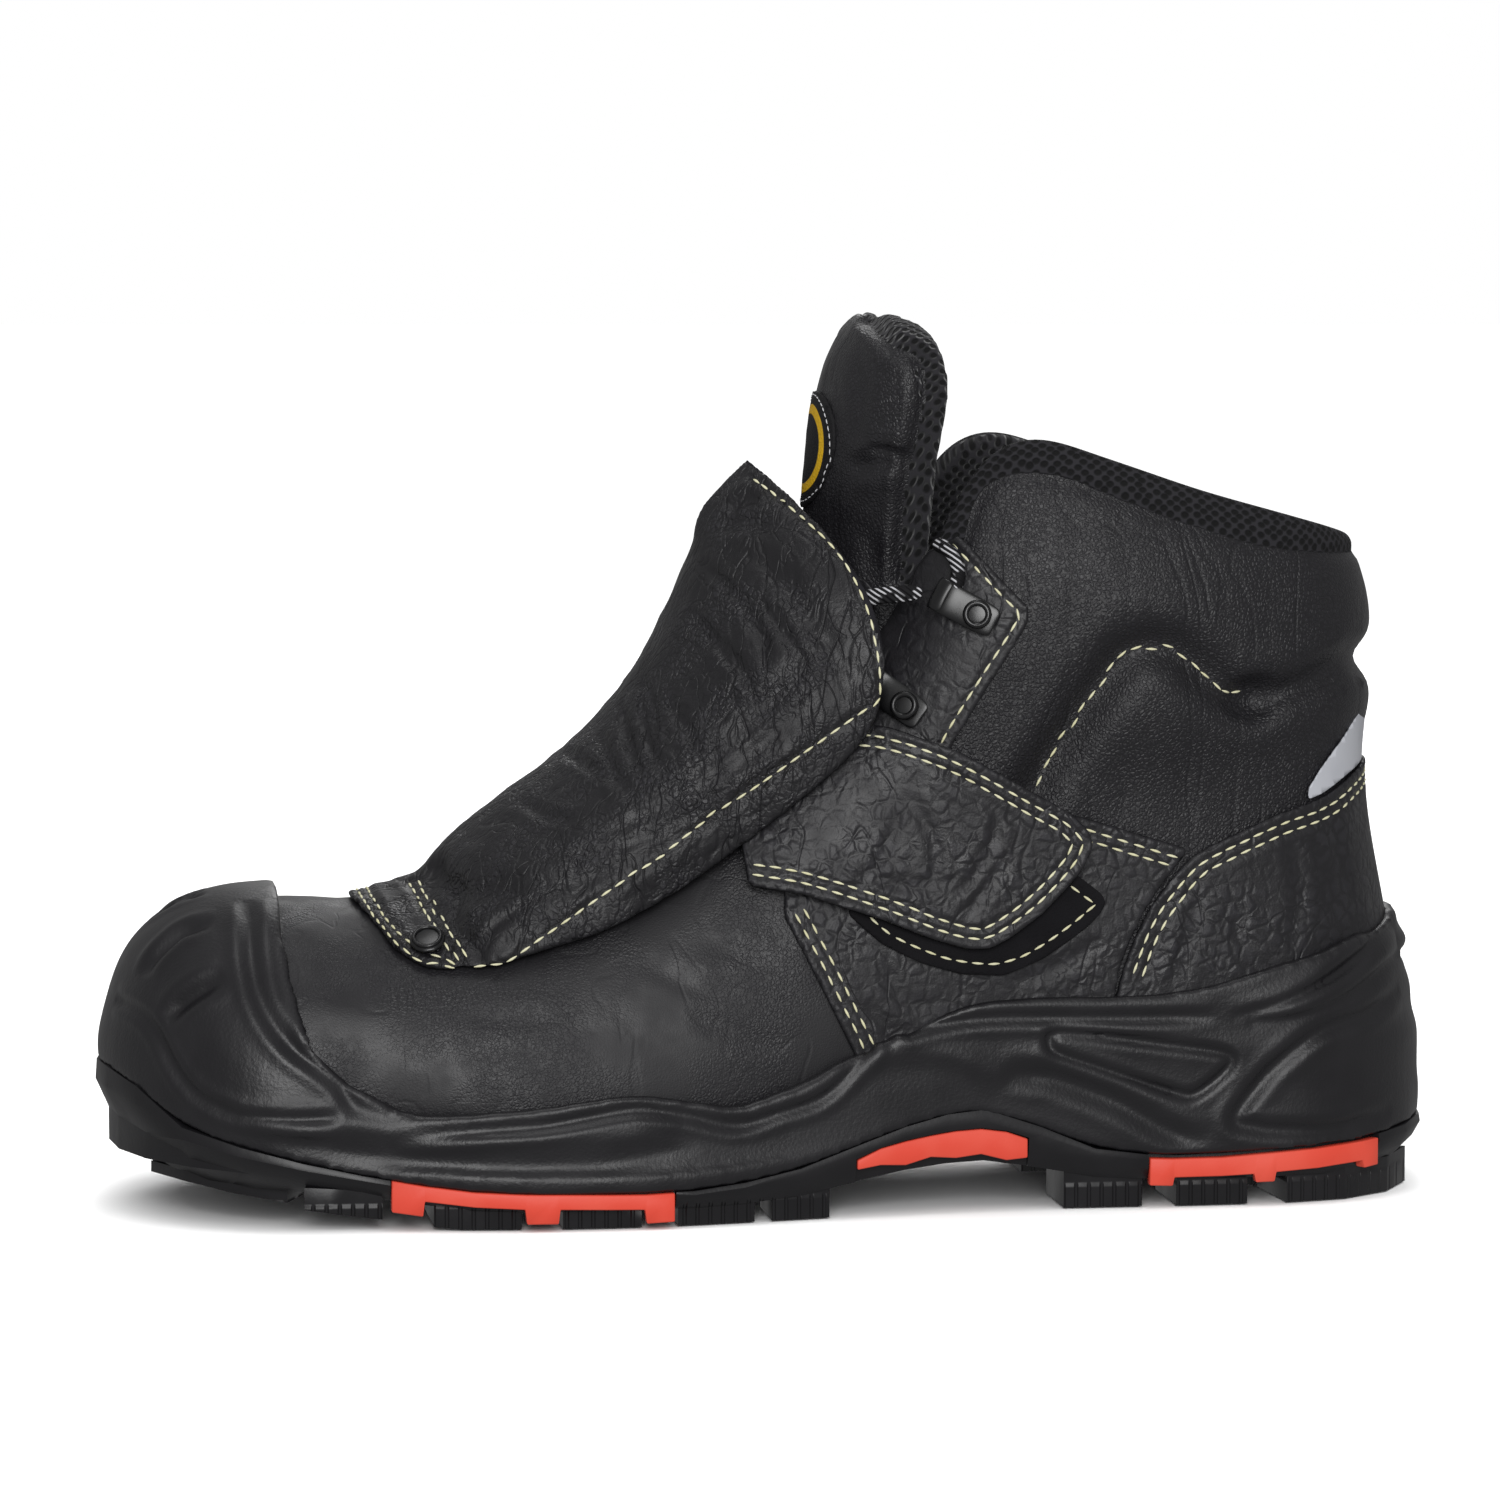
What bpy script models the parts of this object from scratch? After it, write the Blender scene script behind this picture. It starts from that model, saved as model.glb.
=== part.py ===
"""Left safety boot with a metatarsal guard flap. Tables are in millimetres and the meshes in metres.

The toe points to -X, the heel to +X and the lateral side to -Y. The floor is at Z = 0, and the origin
is under the middle of the heel."""

import math

import bmesh
import bpy
import numpy as np

MM = 0.001
GAP = 0.3  # clearance between neighbouring pieces
WALL = 2.2  # leather and lining of the upper
COLLAR_PAD = 6.5  # foam inside the collar
BITE = 1.0  # how far a piece reaches into what cuts it
PLATE = 4.0  # rubber under the foam
WRAP = 4.2  # rubber turned up round the foam
TOE_WRAP = 3.0
LIP = 2.8  # foam where it ends against the upper
BUMPER = 3.6  # foam over the toe
HEEL_LIP = 1.0  # more foam round the heel
RIB = 1.5  # depth of the grooves between the heel ribs
RIB_PITCH = 11.1
RIB_Z = 42.6  # height of the middle of the first groove
RIM_ROUND = 0.28  # how far the rim of the upper is rounded, as a share of its wall
LUG_ROOT = 1.5  # how far a lug reaches up into the plate
LUG_INSET = 3.0  # from the edge of the sole to the lugs along the side
LUG_DEPTH = 4.6  # below the plate, where the toe starts to lift
TOE_LUG_DEPTH = 1.0  # towards the tip of the toe
INSERT_DEPTH = 3.2
INSOLE_GAP = 1.3  # between the insole and the wall
LEATHER = 1.6  # thickness of an overlay
STRAP_THICK = 2.4
PILE_THICK = 1.3
FILM_THICK = 0.7
GUARD_SHEET = 2.4
HOOK_PLATE = 1.1
RIVET_CLEAR = 0.5  # under the guard's rivets, which stand on a curve
LACE_WIDTH = 2.3  # half sizes of the flat lace
LACE_THICK = 1.1
SHARP_FROM = math.radians(38.0)
TOE_CENTRE = (-205.0, 3.0)
HEEL_CENTRE = (8.0, 0.0)
TOE_STEPS = 6
HEEL_STEPS = 5
SIDE_X = (-192.0, -180.0, -168.0, -155.0, -142.0, -130.0, -118.0, -105.0,
          -92.0, -80.0, -70.0, -61.0, -48.0, -35.0, -22.0, -8.0)
LEVELS = 12
THROAT_X = -130.0  # where the vamp opens into the throat

# One row per section of the upper, from the toe round the lateral side to the heel. `at` is the distance
# along the side: toe angle 0..90 degrees, then x, then heel angle 90..0. r and z are the six heights of the
# section from the feather edge to the top; `medial` is added to the radius low down on the medial side.
UPPER = [
    # kind, at, r0, z0, r1, z1, r2, z2, r3, z3, r4, z4, r5, z5, medial
    ("toe", 0, 49.0, 19.5, 53.0, 30.0, 50.8, 46.0, 46.5, 59.0, 31.0, 69.3, 0.0, 70.0, 0.0),
    ("toe", 30, 49.2, 19.3, 53.2, 30.0, 51.0, 46.0, 46.0, 59.0, 29.0, 69.0, 0.0, 70.0, 1.0),
    ("toe", 60, 46.5, 18.3, 50.5, 29.0, 48.5, 44.0, 42.5, 57.0, 25.0, 67.3, 0.0, 70.0, 2.5),
    ("side", -205, 43.0, 17.0, 46.5, 27.0, 45.0, 41.0, 38.5, 54.5, 21.5, 65.8, 0.0, 70.0, 3.5),
    ("side", -180, 46.5, 16.0, 50.0, 26.0, 47.5, 41.0, 39.0, 57.0, 21.0, 69.0, 0.0, 74.0, 2.0),
    ("side", -155, 47.5, 15.5, 51.0, 25.5, 48.0, 43.0, 38.5, 63.0, 21.0, 78.0, 0.0, 84.0, -2.0),
    ("side", -130, 45.5, 15.5, 49.0, 26.5, 46.0, 47.0, 37.0, 71.0, 21.0, 90.0, 0.0, 99.0, -5.0),
    ("side", -105, 41.5, 17.5, 45.0, 29.0, 43.5, 50.0, 38.5, 76.0, 31.0, 97.0, 17.0, 111.0, -8.0),
    ("side", -80, 37.5, 21.5, 41.0, 33.0, 41.0, 55.0, 38.0, 83.0, 34.5, 110.0, 26.0, 133.0, -7.5),
    ("side", -61, 36.0, 25.0, 39.5, 37.0, 40.0, 60.0, 38.0, 94.0, 38.0, 134.0, 29.5, 173.0, -5.5),
    ("side", -35, 35.5, 28.0, 39.0, 40.0, 39.0, 63.0, 36.5, 98.0, 40.0, 136.0, 33.5, 173.0, -3.0),
    ("side", -12, 35.5, 29.0, 38.5, 41.5, 38.0, 64.0, 35.5, 98.0, 39.5, 131.0, 33.0, 165.0, -1.0),
    ("side", 8, 33.5, 29.5, 37.0, 42.5, 36.5, 64.0, 33.0, 96.0, 36.5, 128.0, 30.5, 159.5, 0.0),
    ("heel", 60, 33.0, 29.5, 36.5, 42.5, 35.5, 64.0, 31.0, 96.0, 34.0, 126.5, 28.5, 156.0, 0.0),
    ("heel", 30, 33.0, 29.5, 36.5, 42.5, 34.0, 64.0, 28.5, 96.0, 31.0, 125.5, 27.0, 153.5, 0.0),
    ("heel", 0, 33.0, 29.5, 36.0, 42.5, 33.0, 64.0, 27.3, 96.0, 29.5, 125.0, 26.0, 152.5, 0.0),
]

# The sole along the same way: greatest radius on each side, underside of the plate, how far its edge is
# tucked in below, height of the rubber edge, height of the foam edge.
SOLE = [
    # kind, at, lateral, medial, under, tuck, rubber, foam
    ("toe", 0, 58.7, 58.7, 10.5, 12.0, 33.5, 70.0),
    ("toe", 30, 58.4, 58.8, 10.0, 11.0, 31.0, 70.0),
    ("toe", 45, 57.2, 58.3, 9.5, 9.8, 22.8, 67.5),
    ("toe", 60, 55.0, 57.5, 8.8, 8.0, 19.0, 62.0),
    ("side", -205, 51.0, 54.0, 7.2, 4.5, 12.5, 29.0),
    ("side", -180, 55.0, 56.5, 4.2, 3.0, 8.8, 26.0),
    ("side", -155, 56.5, 53.5, 4.0, 2.5, 8.0, 28.2),
    ("side", -140, 56.0, 49.5, 4.0, 2.5, 7.7, 29.4),
    ("side", -120, 53.0, 44.0, 4.2, 2.5, 9.2, 25.8),
    ("side", -105, 50.0, 40.5, 5.5, 2.5, 12.0, 30.5),
    ("side", -80, 45.5, 36.5, 10.0, 2.5, 20.5, 42.0),
    ("side", -61, 43.0, 36.0, 11.5, 2.5, 23.8, 48.5),
    ("side", -35, 42.0, 38.5, 7.2, 2.5, 14.0, 49.0),
    ("side", -12, 42.0, 41.0, 6.2, 2.5, 12.0, 50.0),
    ("side", 8, 41.5, 41.5, 6.2, 3.0, 13.0, 55.5),
    ("heel", 60, 42.3, 42.3, 6.4, 4.0, 14.3, 59.5),
    ("heel", 30, 43.2, 43.2, 6.8, 5.5, 16.0, 63.0),
    ("heel", 0, 43.5, 43.5, 7.0, 7.0, 17.0, 65.0),
]

# Back edge of the toe bumper, as x against z.
BUMPER_EDGE = [(15.0, -196.0), (26.0, -202.0), (34.0, -210.0), (41.0, -217.0), (52.0, -222.5),
               (62.0, -222.5), (80.0, -221.0)]

TOE_ARC = 82.0  # length given to each quarter turn in the tables
HEEL_ARC = 58.0


def place_of(kind, at):
    """Distance along the half outline, from the toe tip to the back of the heel."""
    if kind == "toe":
        return TOE_ARC * at / 90.0
    if kind == "side":
        return TOE_ARC + at - TOE_CENTRE[0]
    return TOE_ARC + HEEL_CENTRE[0] - TOE_CENTRE[0] + HEEL_ARC * (90.0 - at) / 90.0


def spline(xs, ys, flat_ends=False):
    """A smooth curve through the points, as a function."""
    xs = np.array(xs, float)
    ys = np.array(ys, float)
    slopes = np.gradient(ys, xs)
    if flat_ends:
        slopes[0] = slopes[-1] = 0.0

    def value(x):
        k = int(np.clip(np.searchsorted(xs, x) - 1, 0, len(xs) - 2))
        span = xs[k + 1] - xs[k]
        t = min(max((x - xs[k]) / span, 0.0), 1.0)
        return float(
            (2 * t**3 - 3 * t**2 + 1) * ys[k] + (t**3 - 2 * t**2 + t) * span * slopes[k]
            + (3 * t**2 - 2 * t**3) * ys[k + 1] + (t**3 - t**2) * span * slopes[k + 1]
        )

    return value


UPPER_COLUMNS = [spline([place_of(row[0], row[1]) for row in UPPER], [row[c] for row in UPPER], True)
                 for c in range(2, 15)]
SOLE_COLUMNS = [spline([place_of(row[0], row[1]) for row in SOLE], [row[c] for row in SOLE], True)
                for c in range(2, 8)]
LATERAL_R, MEDIAL_R, UNDER, TUCK, RUBBER_Z, FOAM_Z = SOLE_COLUMNS
bumper_x = spline([z for z, x in BUMPER_EDGE], [x for z, x in BUMPER_EDGE])

HALF = ([("toe", 90.0 * k / TOE_STEPS) for k in range(TOE_STEPS + 1)] + [("side", x) for x in SIDE_X]
        + [("heel", 90.0 - 90.0 * k / HEEL_STEPS) for k in range(HEEL_STEPS + 1)])
HALF_COUNT = len(HALF) - 1
COUNT = 2 * HALF_COUNT  # stations round the boot: 0 at the toe, HALF_COUNT at the heel, lateral side first


def ray_of(station):
    """Base point and outward direction, in plan, of a station."""
    side = -1.0 if station <= HALF_COUNT else 1.0
    kind, at = HALF[station if station <= HALF_COUNT else COUNT - station]
    if kind == "toe":
        angle = math.radians(at)
        return TOE_CENTRE, (-math.cos(angle), side * math.sin(angle))
    if kind == "side":
        share = (at - HEEL_CENTRE[0]) / (TOE_CENTRE[0] - HEEL_CENTRE[0])
        return (at, TOE_CENTRE[1] * min(max(share, 0.0), 1.0)), (0.0, side)
    angle = math.radians(at)
    return HEEL_CENTRE, (math.cos(angle), side * math.sin(angle))


def place(station):
    return place_of(*HALF[station if station <= HALF_COUNT else COUNT - station])


def is_medial(station):
    return station > HALF_COUNT


def is_closed(station):
    """True where the vamp closes over the foot."""
    kind, at = HALF[station if station <= HALF_COUNT else COUNT - station]
    return kind == "toe" or (kind == "side" and at <= THROAT_X)


def section(station):
    """(r, z) of the upper at every level of a station."""
    s = place(station)
    values = [column(s) for column in UPPER_COLUMNS]
    radii = np.array(values[0:12:2])
    heights = np.array(values[1:12:2])
    if is_medial(station):
        radii = radii + values[12] * np.array([1.0, 1.0, 0.9, 0.5, 0.1, 0.0])
    if is_closed(station):
        radii[5] = 0.0
    knots = np.linspace(0.0, 1.0, 6)
    over_r = np.gradient(radii, knots)
    over_z = np.gradient(heights, knots)
    if is_closed(station):
        over_z[5] = 0.0
        over_r[5] = 1.5 * (radii[5] - radii[4]) / 0.2
    out = []
    for j in range(LEVELS + 1):
        v = j / LEVELS
        k = min(int(v * 5), 4)
        t = (v - knots[k]) / 0.2
        basis = np.array([2 * t**3 - 3 * t**2 + 1, (t**3 - 2 * t**2 + t) * 0.2,
                          3 * t**2 - 2 * t**3, (t**3 - t**2) * 0.2])
        out.append((basis @ [radii[k], over_r[k], radii[k + 1], over_r[k + 1]],
                    basis @ [heights[k], over_z[k], heights[k + 1], over_z[k + 1]]))
    return np.array(out)


def point_of(station, r, z):
    (x, y), (dx, dy) = ray_of(station)
    return np.array([x + dx * r, y + dy * r, z])


SECTIONS = [section(station) for station in range(COUNT)]
SKIN = np.array([[point_of(i, r, z) for r, z in SECTIONS[i]] for i in range(COUNT)])
for station in range(1, HALF_COUNT):
    if is_closed(station):
        SKIN[COUNT - station, -1] = SKIN[station, -1] = SKIN[max(station, TOE_STEPS), -1]
SKIN[0, -1] = SKIN[TOE_STEPS, -1]


def skin_normals():
    along = np.roll(SKIN, -1, axis=0) - np.roll(SKIN, 1, axis=0)
    up = np.gradient(SKIN, axis=1)
    normals = np.cross(along, up)
    outward = np.array([[*ray_of(i)[1], 0.6] for i in range(COUNT)])
    if np.sum(normals[:, 2] * outward) < 0:
        normals = -normals
    # On the crown of the vamp both sides share one upright normal.
    for i in range(TOE_STEPS, HALF_COUNT):
        if not is_closed(i):
            break
        slope = SKIN[i + 1, -1] - SKIN[max(i - 1, TOE_STEPS), -1]
        normals[i, -1] = normals[COUNT - i, -1] = (-slope[2], 0.0, slope[0])
    for i in range(-TOE_STEPS, TOE_STEPS):
        normals[i, -1] = normals[TOE_STEPS, -1]
    return normals / np.linalg.norm(normals, axis=2, keepdims=True)


NORMALS = skin_normals()


class Surface:
    """A grid of points with normals, read as the flat triangles that a mesh of it has."""

    def __init__(self, points, normals, round_about=False):
        self.points = points
        self.normals = normals
        self.across = points.shape[0] if round_about else points.shape[0] - 1
        self.up = points.shape[1] - 1

    def at(self, a, b, lift=0.0):
        i = int(math.floor(a)) if self.across == self.points.shape[0] else min(int(a), self.across - 1)
        j = min(int(b), self.up - 1)
        fa = a - i
        fb = b - j
        n = self.points.shape[0]
        if fb >= fa:
            share = [(i % n, j, 1 - fb), (i % n, j + 1, fb - fa), ((i + 1) % n, j + 1, fa)]
        else:
            share = [(i % n, j, 1 - fa), ((i + 1) % n, j, fa - fb), ((i + 1) % n, j + 1, fb)]
        spot = sum(w * self.points[p, q] for p, q, w in share)
        normal = sum(w * self.normals[p, q] for p, q, w in share)
        return spot + lift * normal / np.linalg.norm(normal)

    def find(self, x, z, columns):
        """(a, b) of the spot seen at x, z from the side, within the given columns."""
        best = None
        for i in columns:
            for j in range(self.up):
                for steps in (((0, 0), (0, 1), (1, 1)), ((0, 0), (1, 1), (1, 0))):
                    corners = [self.points[(i + p) % len(self.points), j + q] for p, q in steps]
                    (ax, ay, az), (bx, by, bz), (cx, cy, cz) = corners
                    area = (bx - ax) * (cz - az) - (cx - ax) * (bz - az)
                    if abs(area) < 1e-9:
                        continue
                    v = ((x - ax) * (cz - az) - (cx - ax) * (z - az)) / area
                    w = ((bx - ax) * (z - az) - (x - ax) * (bz - az)) / area
                    inside = min(v, w, 1 - v - w)
                    if best is None or inside > best[0]:
                        over = v * steps[1][0] + w * steps[2][0]
                        rise = v * steps[1][1] + w * steps[2][1]
                        best = (inside, i + over, j + rise)
            if best and best[0] >= 0:
                break
        return best[1], min(max(best[2], 0.0), float(self.up))


def cut_by_triangle(outline, triangle):
    """The part of a flat outline inside a triangle."""
    ring = outline
    for k in range(3):
        (px, py), (qx, qy) = triangle[k], triangle[(k + 1) % 3]
        kept = []
        for m in range(len(ring)):
            one, two = ring[m - 1], ring[m]
            d1 = (qx - px) * (one[1] - py) - (qy - py) * (one[0] - px)
            d2 = (qx - px) * (two[1] - py) - (qy - py) * (two[0] - px)
            if (d1 >= 0) != (d2 >= 0):
                t = d1 / (d1 - d2)
                kept.append((one[0] + t * (two[0] - one[0]), one[1] + t * (two[1] - one[1])))
            if d2 >= 0:
                kept.append(two)
        ring = kept
        if not ring:
            return []
    return ring


SKIN_FACE = Surface(SKIN, NORMALS, True)
on_skin = SKIN_FACE.at


def level_at(station, z):
    """The level at which a station reaches the height z."""
    heights = SECTIONS[station][:, 1]
    for j in range(LEVELS):
        if heights[j + 1] >= z:
            return j + max(0.0, (z - heights[j]) / (heights[j + 1] - heights[j]))
    return float(LEVELS)


def wall_at(station, level):
    """Thickness of the upper, with the padded collar towards its rim."""
    s = place(station)
    back = min(max((s - place_of("side", -92.0)) / 30.0, 0.0), 1.0)
    high = min(max((SECTIONS[station][level][1] - 98.0) / 28.0, 0.0), 1.0)
    return WALL + COLLAR_PAD * back * high * high * (3 - 2 * high)


MATERIALS = {
    "grained leather": ((0.030, 0.031, 0.034), 0.62, 0.0),
    "smooth leather": ((0.026, 0.027, 0.030), 0.55, 0.0),
    "lining mesh": ((0.022, 0.022, 0.024), 0.9, 0.0),
    "moulded foam": ((0.028, 0.028, 0.031), 0.6, 0.0),
    "rubber": ((0.018, 0.018, 0.020), 0.5, 0.0),
    "red rubber": ((0.80, 0.075, 0.055), 0.5, 0.0),
    "grey reflective film": ((0.42, 0.43, 0.45), 0.35, 0.0),
    "black painted steel": ((0.020, 0.020, 0.022), 0.35, 1.0),
    "yellow thread": ((0.75, 0.66, 0.30), 0.7, 0.0),
    "lace cord": ((0.020, 0.020, 0.021), 0.85, 0.0),
    "pile tape": ((0.018, 0.018, 0.019), 0.95, 0.0),
}


def material(node, kind):
    colour, roughness, metallic = MATERIALS[kind]
    made = bpy.data.materials.new(f"{node} {kind}")
    made.use_nodes = True
    shader = made.node_tree.nodes["Principled BSDF"]
    shader.inputs["Base Color"].default_value = (*colour, 1.0)
    shader.inputs["Roughness"].default_value = roughness
    shader.inputs["Metallic"].default_value = metallic
    made.diffuse_color = (*colour, 1.0)
    return made


class Shape:
    """Points and faces gathered into one closed mesh."""

    def __init__(self):
        self.points = []
        self.faces = []
        self.index = {}

    def point(self, spot):
        key = tuple(np.round(spot, 3))
        if key not in self.index:
            self.index[key] = len(self.points)
            self.points.append(tuple(float(c) for c in spot))
        return self.index[key]

    def face(self, *spots):
        ring = []
        for spot in spots:
            k = self.point(spot)
            if not ring or ring[-1] != k:
                ring.append(k)
        if len(ring) > 1 and ring[0] == ring[-1]:
            ring.pop()
        if len(ring) < 3 or len(set(ring)) < len(ring):
            return
        self.faces.append(ring)

    def strip(self, first, second):
        for k in range(len(first) - 1):
            self.face(first[k], first[k + 1], second[k + 1], second[k])

    def finish(self, name, kind, visible=True):
        mesh = bpy.data.meshes.new(name)
        mesh.from_pydata([tuple(c * MM for c in spot) for spot in self.points], [], self.faces)
        net = bmesh.new()
        net.from_mesh(mesh)
        bmesh.ops.dissolve_degenerate(net, dist=1e-6, edges=net.edges)
        bmesh.ops.triangulate(net, faces=[f for f in net.faces if len(f.verts) > 3], quad_method="FIXED")
        bmesh.ops.recalc_face_normals(net, faces=net.faces)
        if net.calc_volume(signed=True) < 0:
            bmesh.ops.reverse_faces(net, faces=net.faces)
        net.to_mesh(mesh)
        net.free()
        mesh.shade_smooth()
        mesh.set_sharp_from_angle(angle=SHARP_FROM)
        made = bpy.data.objects.new(name, mesh)
        bpy.context.scene.collection.objects.link(made)
        if visible:
            mesh.materials.append(material(name, kind))
        else:
            made.hide_render = True
            made.display_type = "WIRE"
        return made


def clear_scene():
    for made in list(bpy.data.objects):
        bpy.data.objects.remove(made)


def boolean(target, other, operation):
    cut = target.modifiers.new(f"{operation.lower()} {other.name}", "BOOLEAN")
    cut.object = other
    cut.operation = operation
    cut.solver = "EXACT"


def across(shape, ring):
    """Closes a ring of one spot per station, laid between the lateral and the medial side."""
    for k in range(HALF_COUNT):
        shape.face(ring[k], ring[k + 1], ring[(COUNT - k - 1) % COUNT], ring[(COUNT - k) % COUNT])


def upper_shell(over=0.0, grow=0.0):
    """The upper as a closed shell; `over` and `grow` make it larger outwards, and inwards and at its rim."""
    shape = Shape()
    outer = [[on_skin(i, j, over) for j in range(LEVELS + 1)] for i in range(COUNT)]
    inner = [[on_skin(i, j, -wall_at(i, j) - grow) for j in range(0, LEVELS + 1, 2)] for i in range(COUNT)]
    for i in range(COUNT):
        if grow and not is_closed(i):
            up = SKIN[i, -1] - SKIN[i, -2]
            outer[i][-1] = outer[i][-1] + grow * up / np.linalg.norm(up)
            inner[i][-1] = inner[i][-1] + grow * up / np.linalg.norm(up)
    rims = []
    for i in range(COUNT):
        top, under = outer[i][-1], inner[i][-1]
        rise = 0.0 if is_closed(i) else RIM_ROUND * np.linalg.norm(top - under)
        lift = np.array([0.0, 0.0, rise])
        rims.append([top, top * 0.75 + under * 0.25 + lift, top * 0.25 + under * 0.75 + lift, under])
    for i in range(COUNT):
        n = (i + 1) % COUNT
        shape.strip(outer[i], outer[n])
        shape.strip(inner[n], inner[i])
        shape.face(outer[n][0], outer[i][0], inner[i][0], inner[n][0])
        if not (is_closed(i) and is_closed(n)):
            shape.strip(rims[i], rims[n])
    return shape


def build_upper():
    return upper_shell().finish("upper", "grained leather")


def radius_of(station):
    return (MEDIAL_R if is_medial(station) else LATERAL_R)(place(station))


def wrap_at(s):
    share = min(max((s - TOE_ARC) / 20.0, 0.0), 1.0)
    return TOE_WRAP + (WRAP - TOE_WRAP) * share


def foam_level(station):
    """Level at which the foam ends against the upper."""
    s = place(station)
    if s <= place_of("side", -196.0):
        previous = 0.0
        for k in range(1, 20 * LEVELS + 1):
            b = k / 20
            spot = on_skin(station, b, BUMPER)
            if spot[0] > bumper_x(spot[2]):
                return previous
            previous = b
        return previous
    return level_at(station, FOAM_Z(s))


def heel_share(station):
    return min(max((place(station) - place_of("side", -30.0)) / 38.0, 0.0), 1.0)


def build_form():
    """The space of the upper, a clearance larger all round: what lies against the upper is cut by it."""
    shape = Shape()
    rings = []
    for i in range(COUNT):
        ring = [on_skin(i, j, GAP) for j in range(LEVELS + 1)]
        foot = ring[0].copy()
        foot[2] = SECTIONS[i][0][1] - GAP
        rings.append([foot] + ring)
    for i in range(COUNT):
        shape.strip(rings[i], rings[(i + 1) % COUNT])
    across(shape, [ring[0] for ring in rings])
    for k in range(HALF_COUNT):
        if not is_closed(k + 1):
            shape.face(rings[k][-1], rings[k + 1][-1], rings[(COUNT - k - 1) % COUNT][-1], rings[-k][-1])
    return shape.finish("form", "smooth leather", visible=False)


def build_midsole(form):
    shape = Shape()
    steps = 8
    walls = []
    for i in range(COUNT):
        s = place(i)
        floor = UNDER(s) + PLATE + GAP
        edge = max(RUBBER_Z(s) + GAP, floor)
        radius = radius_of(i)
        top = foam_level(i)
        start = level_at(i, edge + 4.0)
        low = on_skin(i, start, 0.0)
        base = radius - SECTIONS[i][0][0] if start == 0 else radius - float(
            np.interp(start, range(LEVELS + 1), SECTIONS[i][:, 0]))
        toe = min(max((place_of("side", -192.0) - s) / 40.0, 0.0), 1.0)
        lip = LIP + (BUMPER - LIP) * toe + HEEL_LIP * heel_share(i)
        wall = [point_of(i, radius - wrap_at(s) - GAP, floor), point_of(i, radius - wrap_at(s) - GAP, edge),
                point_of(i, radius - 0.3, edge)]
        if low[2] - edge > 5.0:
            wall.append(point_of(i, radius, 0.5 * (edge + low[2])))
        else:
            wall.append(wall[-1])
        for k in range(steps + 1):
            f = k / steps
            b = start + (top - start) * f
            spot = on_skin(i, b, lip + (base - lip) * (1 - f) ** 1.4)
            z = spot[2]
            if z > RIB_Z - 4.0 and heel_share(i) > 0 and f < 0.97:
                groove = max(0.0, math.cos(2 * math.pi * (z - RIB_Z) / RIB_PITCH)) ** 2
                spot = on_skin(i, b, lip + (base - lip) * (1 - f) ** 1.4 - RIB * groove * heel_share(i))
            wall.append(spot)
        inside = [on_skin(i, top * j / steps, -BITE) for j in range(steps, -1, -2)]
        inside[-1][2] = SECTIONS[i][0][1] + BITE
        walls.append(wall + inside)
    for i in range(COUNT):
        shape.strip(walls[i], walls[(i + 1) % COUNT])
    across(shape, [wall[0] for wall in walls])
    across(shape, [wall[-1] for wall in walls])
    made = shape.finish("midsole", "moulded foam")
    boolean(made, form, "DIFFERENCE")
    return made


def build_outsole_plate():
    shape = Shape()
    walls = []
    for i in range(COUNT):
        s = place(i)
        radius = radius_of(i)
        under = UNDER(s)
        rubber = max(RUBBER_Z(s), under + PLATE)
        walls.append([point_of(i, radius - TUCK(s), under),
                      point_of(i, radius - 0.3 * TUCK(s), under + 0.45 * (rubber - under)),
                      point_of(i, radius, under + 0.8 * (rubber - under)),
                      point_of(i, radius - 0.3, rubber),
                      point_of(i, radius - wrap_at(s), rubber),
                      point_of(i, radius - wrap_at(s), under + PLATE)])
    for i in range(COUNT):
        shape.strip(walls[i], walls[(i + 1) % COUNT])
    across(shape, [wall[0] for wall in walls])
    across(shape, [wall[-1] for wall in walls])
    return shape.finish("outsole", "rubber")


def build_insole():
    shape = Shape()
    walls = []
    for i in range(COUNT):
        z = SECTIONS[i][0][1]
        ring = []
        for rise in (0.0, 2.5, 4.6):
            b = level_at(i, z + rise)
            spot = on_skin(i, b, -WALL - INSOLE_GAP)
            spot[2] = z + rise
            ring.append(spot)
        ring.append(ring[-1] + (point_of(i, 0.0, z + 4.6) - ring[-1]) * 0.12)
        walls.append(ring)
    for i in range(COUNT):
        shape.strip(walls[i], walls[(i + 1) % COUNT])
    across(shape, [wall[0] for wall in walls])
    across(shape, [wall[-1] for wall in walls])
    return shape.finish("insole", "lining mesh")


def edge_spot(medial, s, inset, z):
    """A spot on the outline of the sole, s along it, set in from its edge."""
    side = 1.0 if medial else -1.0
    radius = (MEDIAL_R if medial else LATERAL_R)(s) - inset
    heel_s = place_of("side", HEEL_CENTRE[0])
    if s < TOE_ARC:
        angle = math.radians(90.0 * s / TOE_ARC)
        ahead, aside = radius * math.cos(angle), side * radius * math.sin(angle)
        return np.array([TOE_CENTRE[0] - ahead, TOE_CENTRE[1] + aside, z])
    if s > heel_s:
        angle = math.radians(90.0 * (1 - (s - heel_s) / HEEL_ARC))
        return np.array([HEEL_CENTRE[0] + radius * math.cos(angle), side * radius * math.sin(angle), z])
    x = TOE_CENTRE[0] + s - TOE_ARC
    base = TOE_CENTRE[1] * (heel_s - s) / (heel_s - TOE_ARC)
    return np.array([x, base + side * radius, z])


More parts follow.
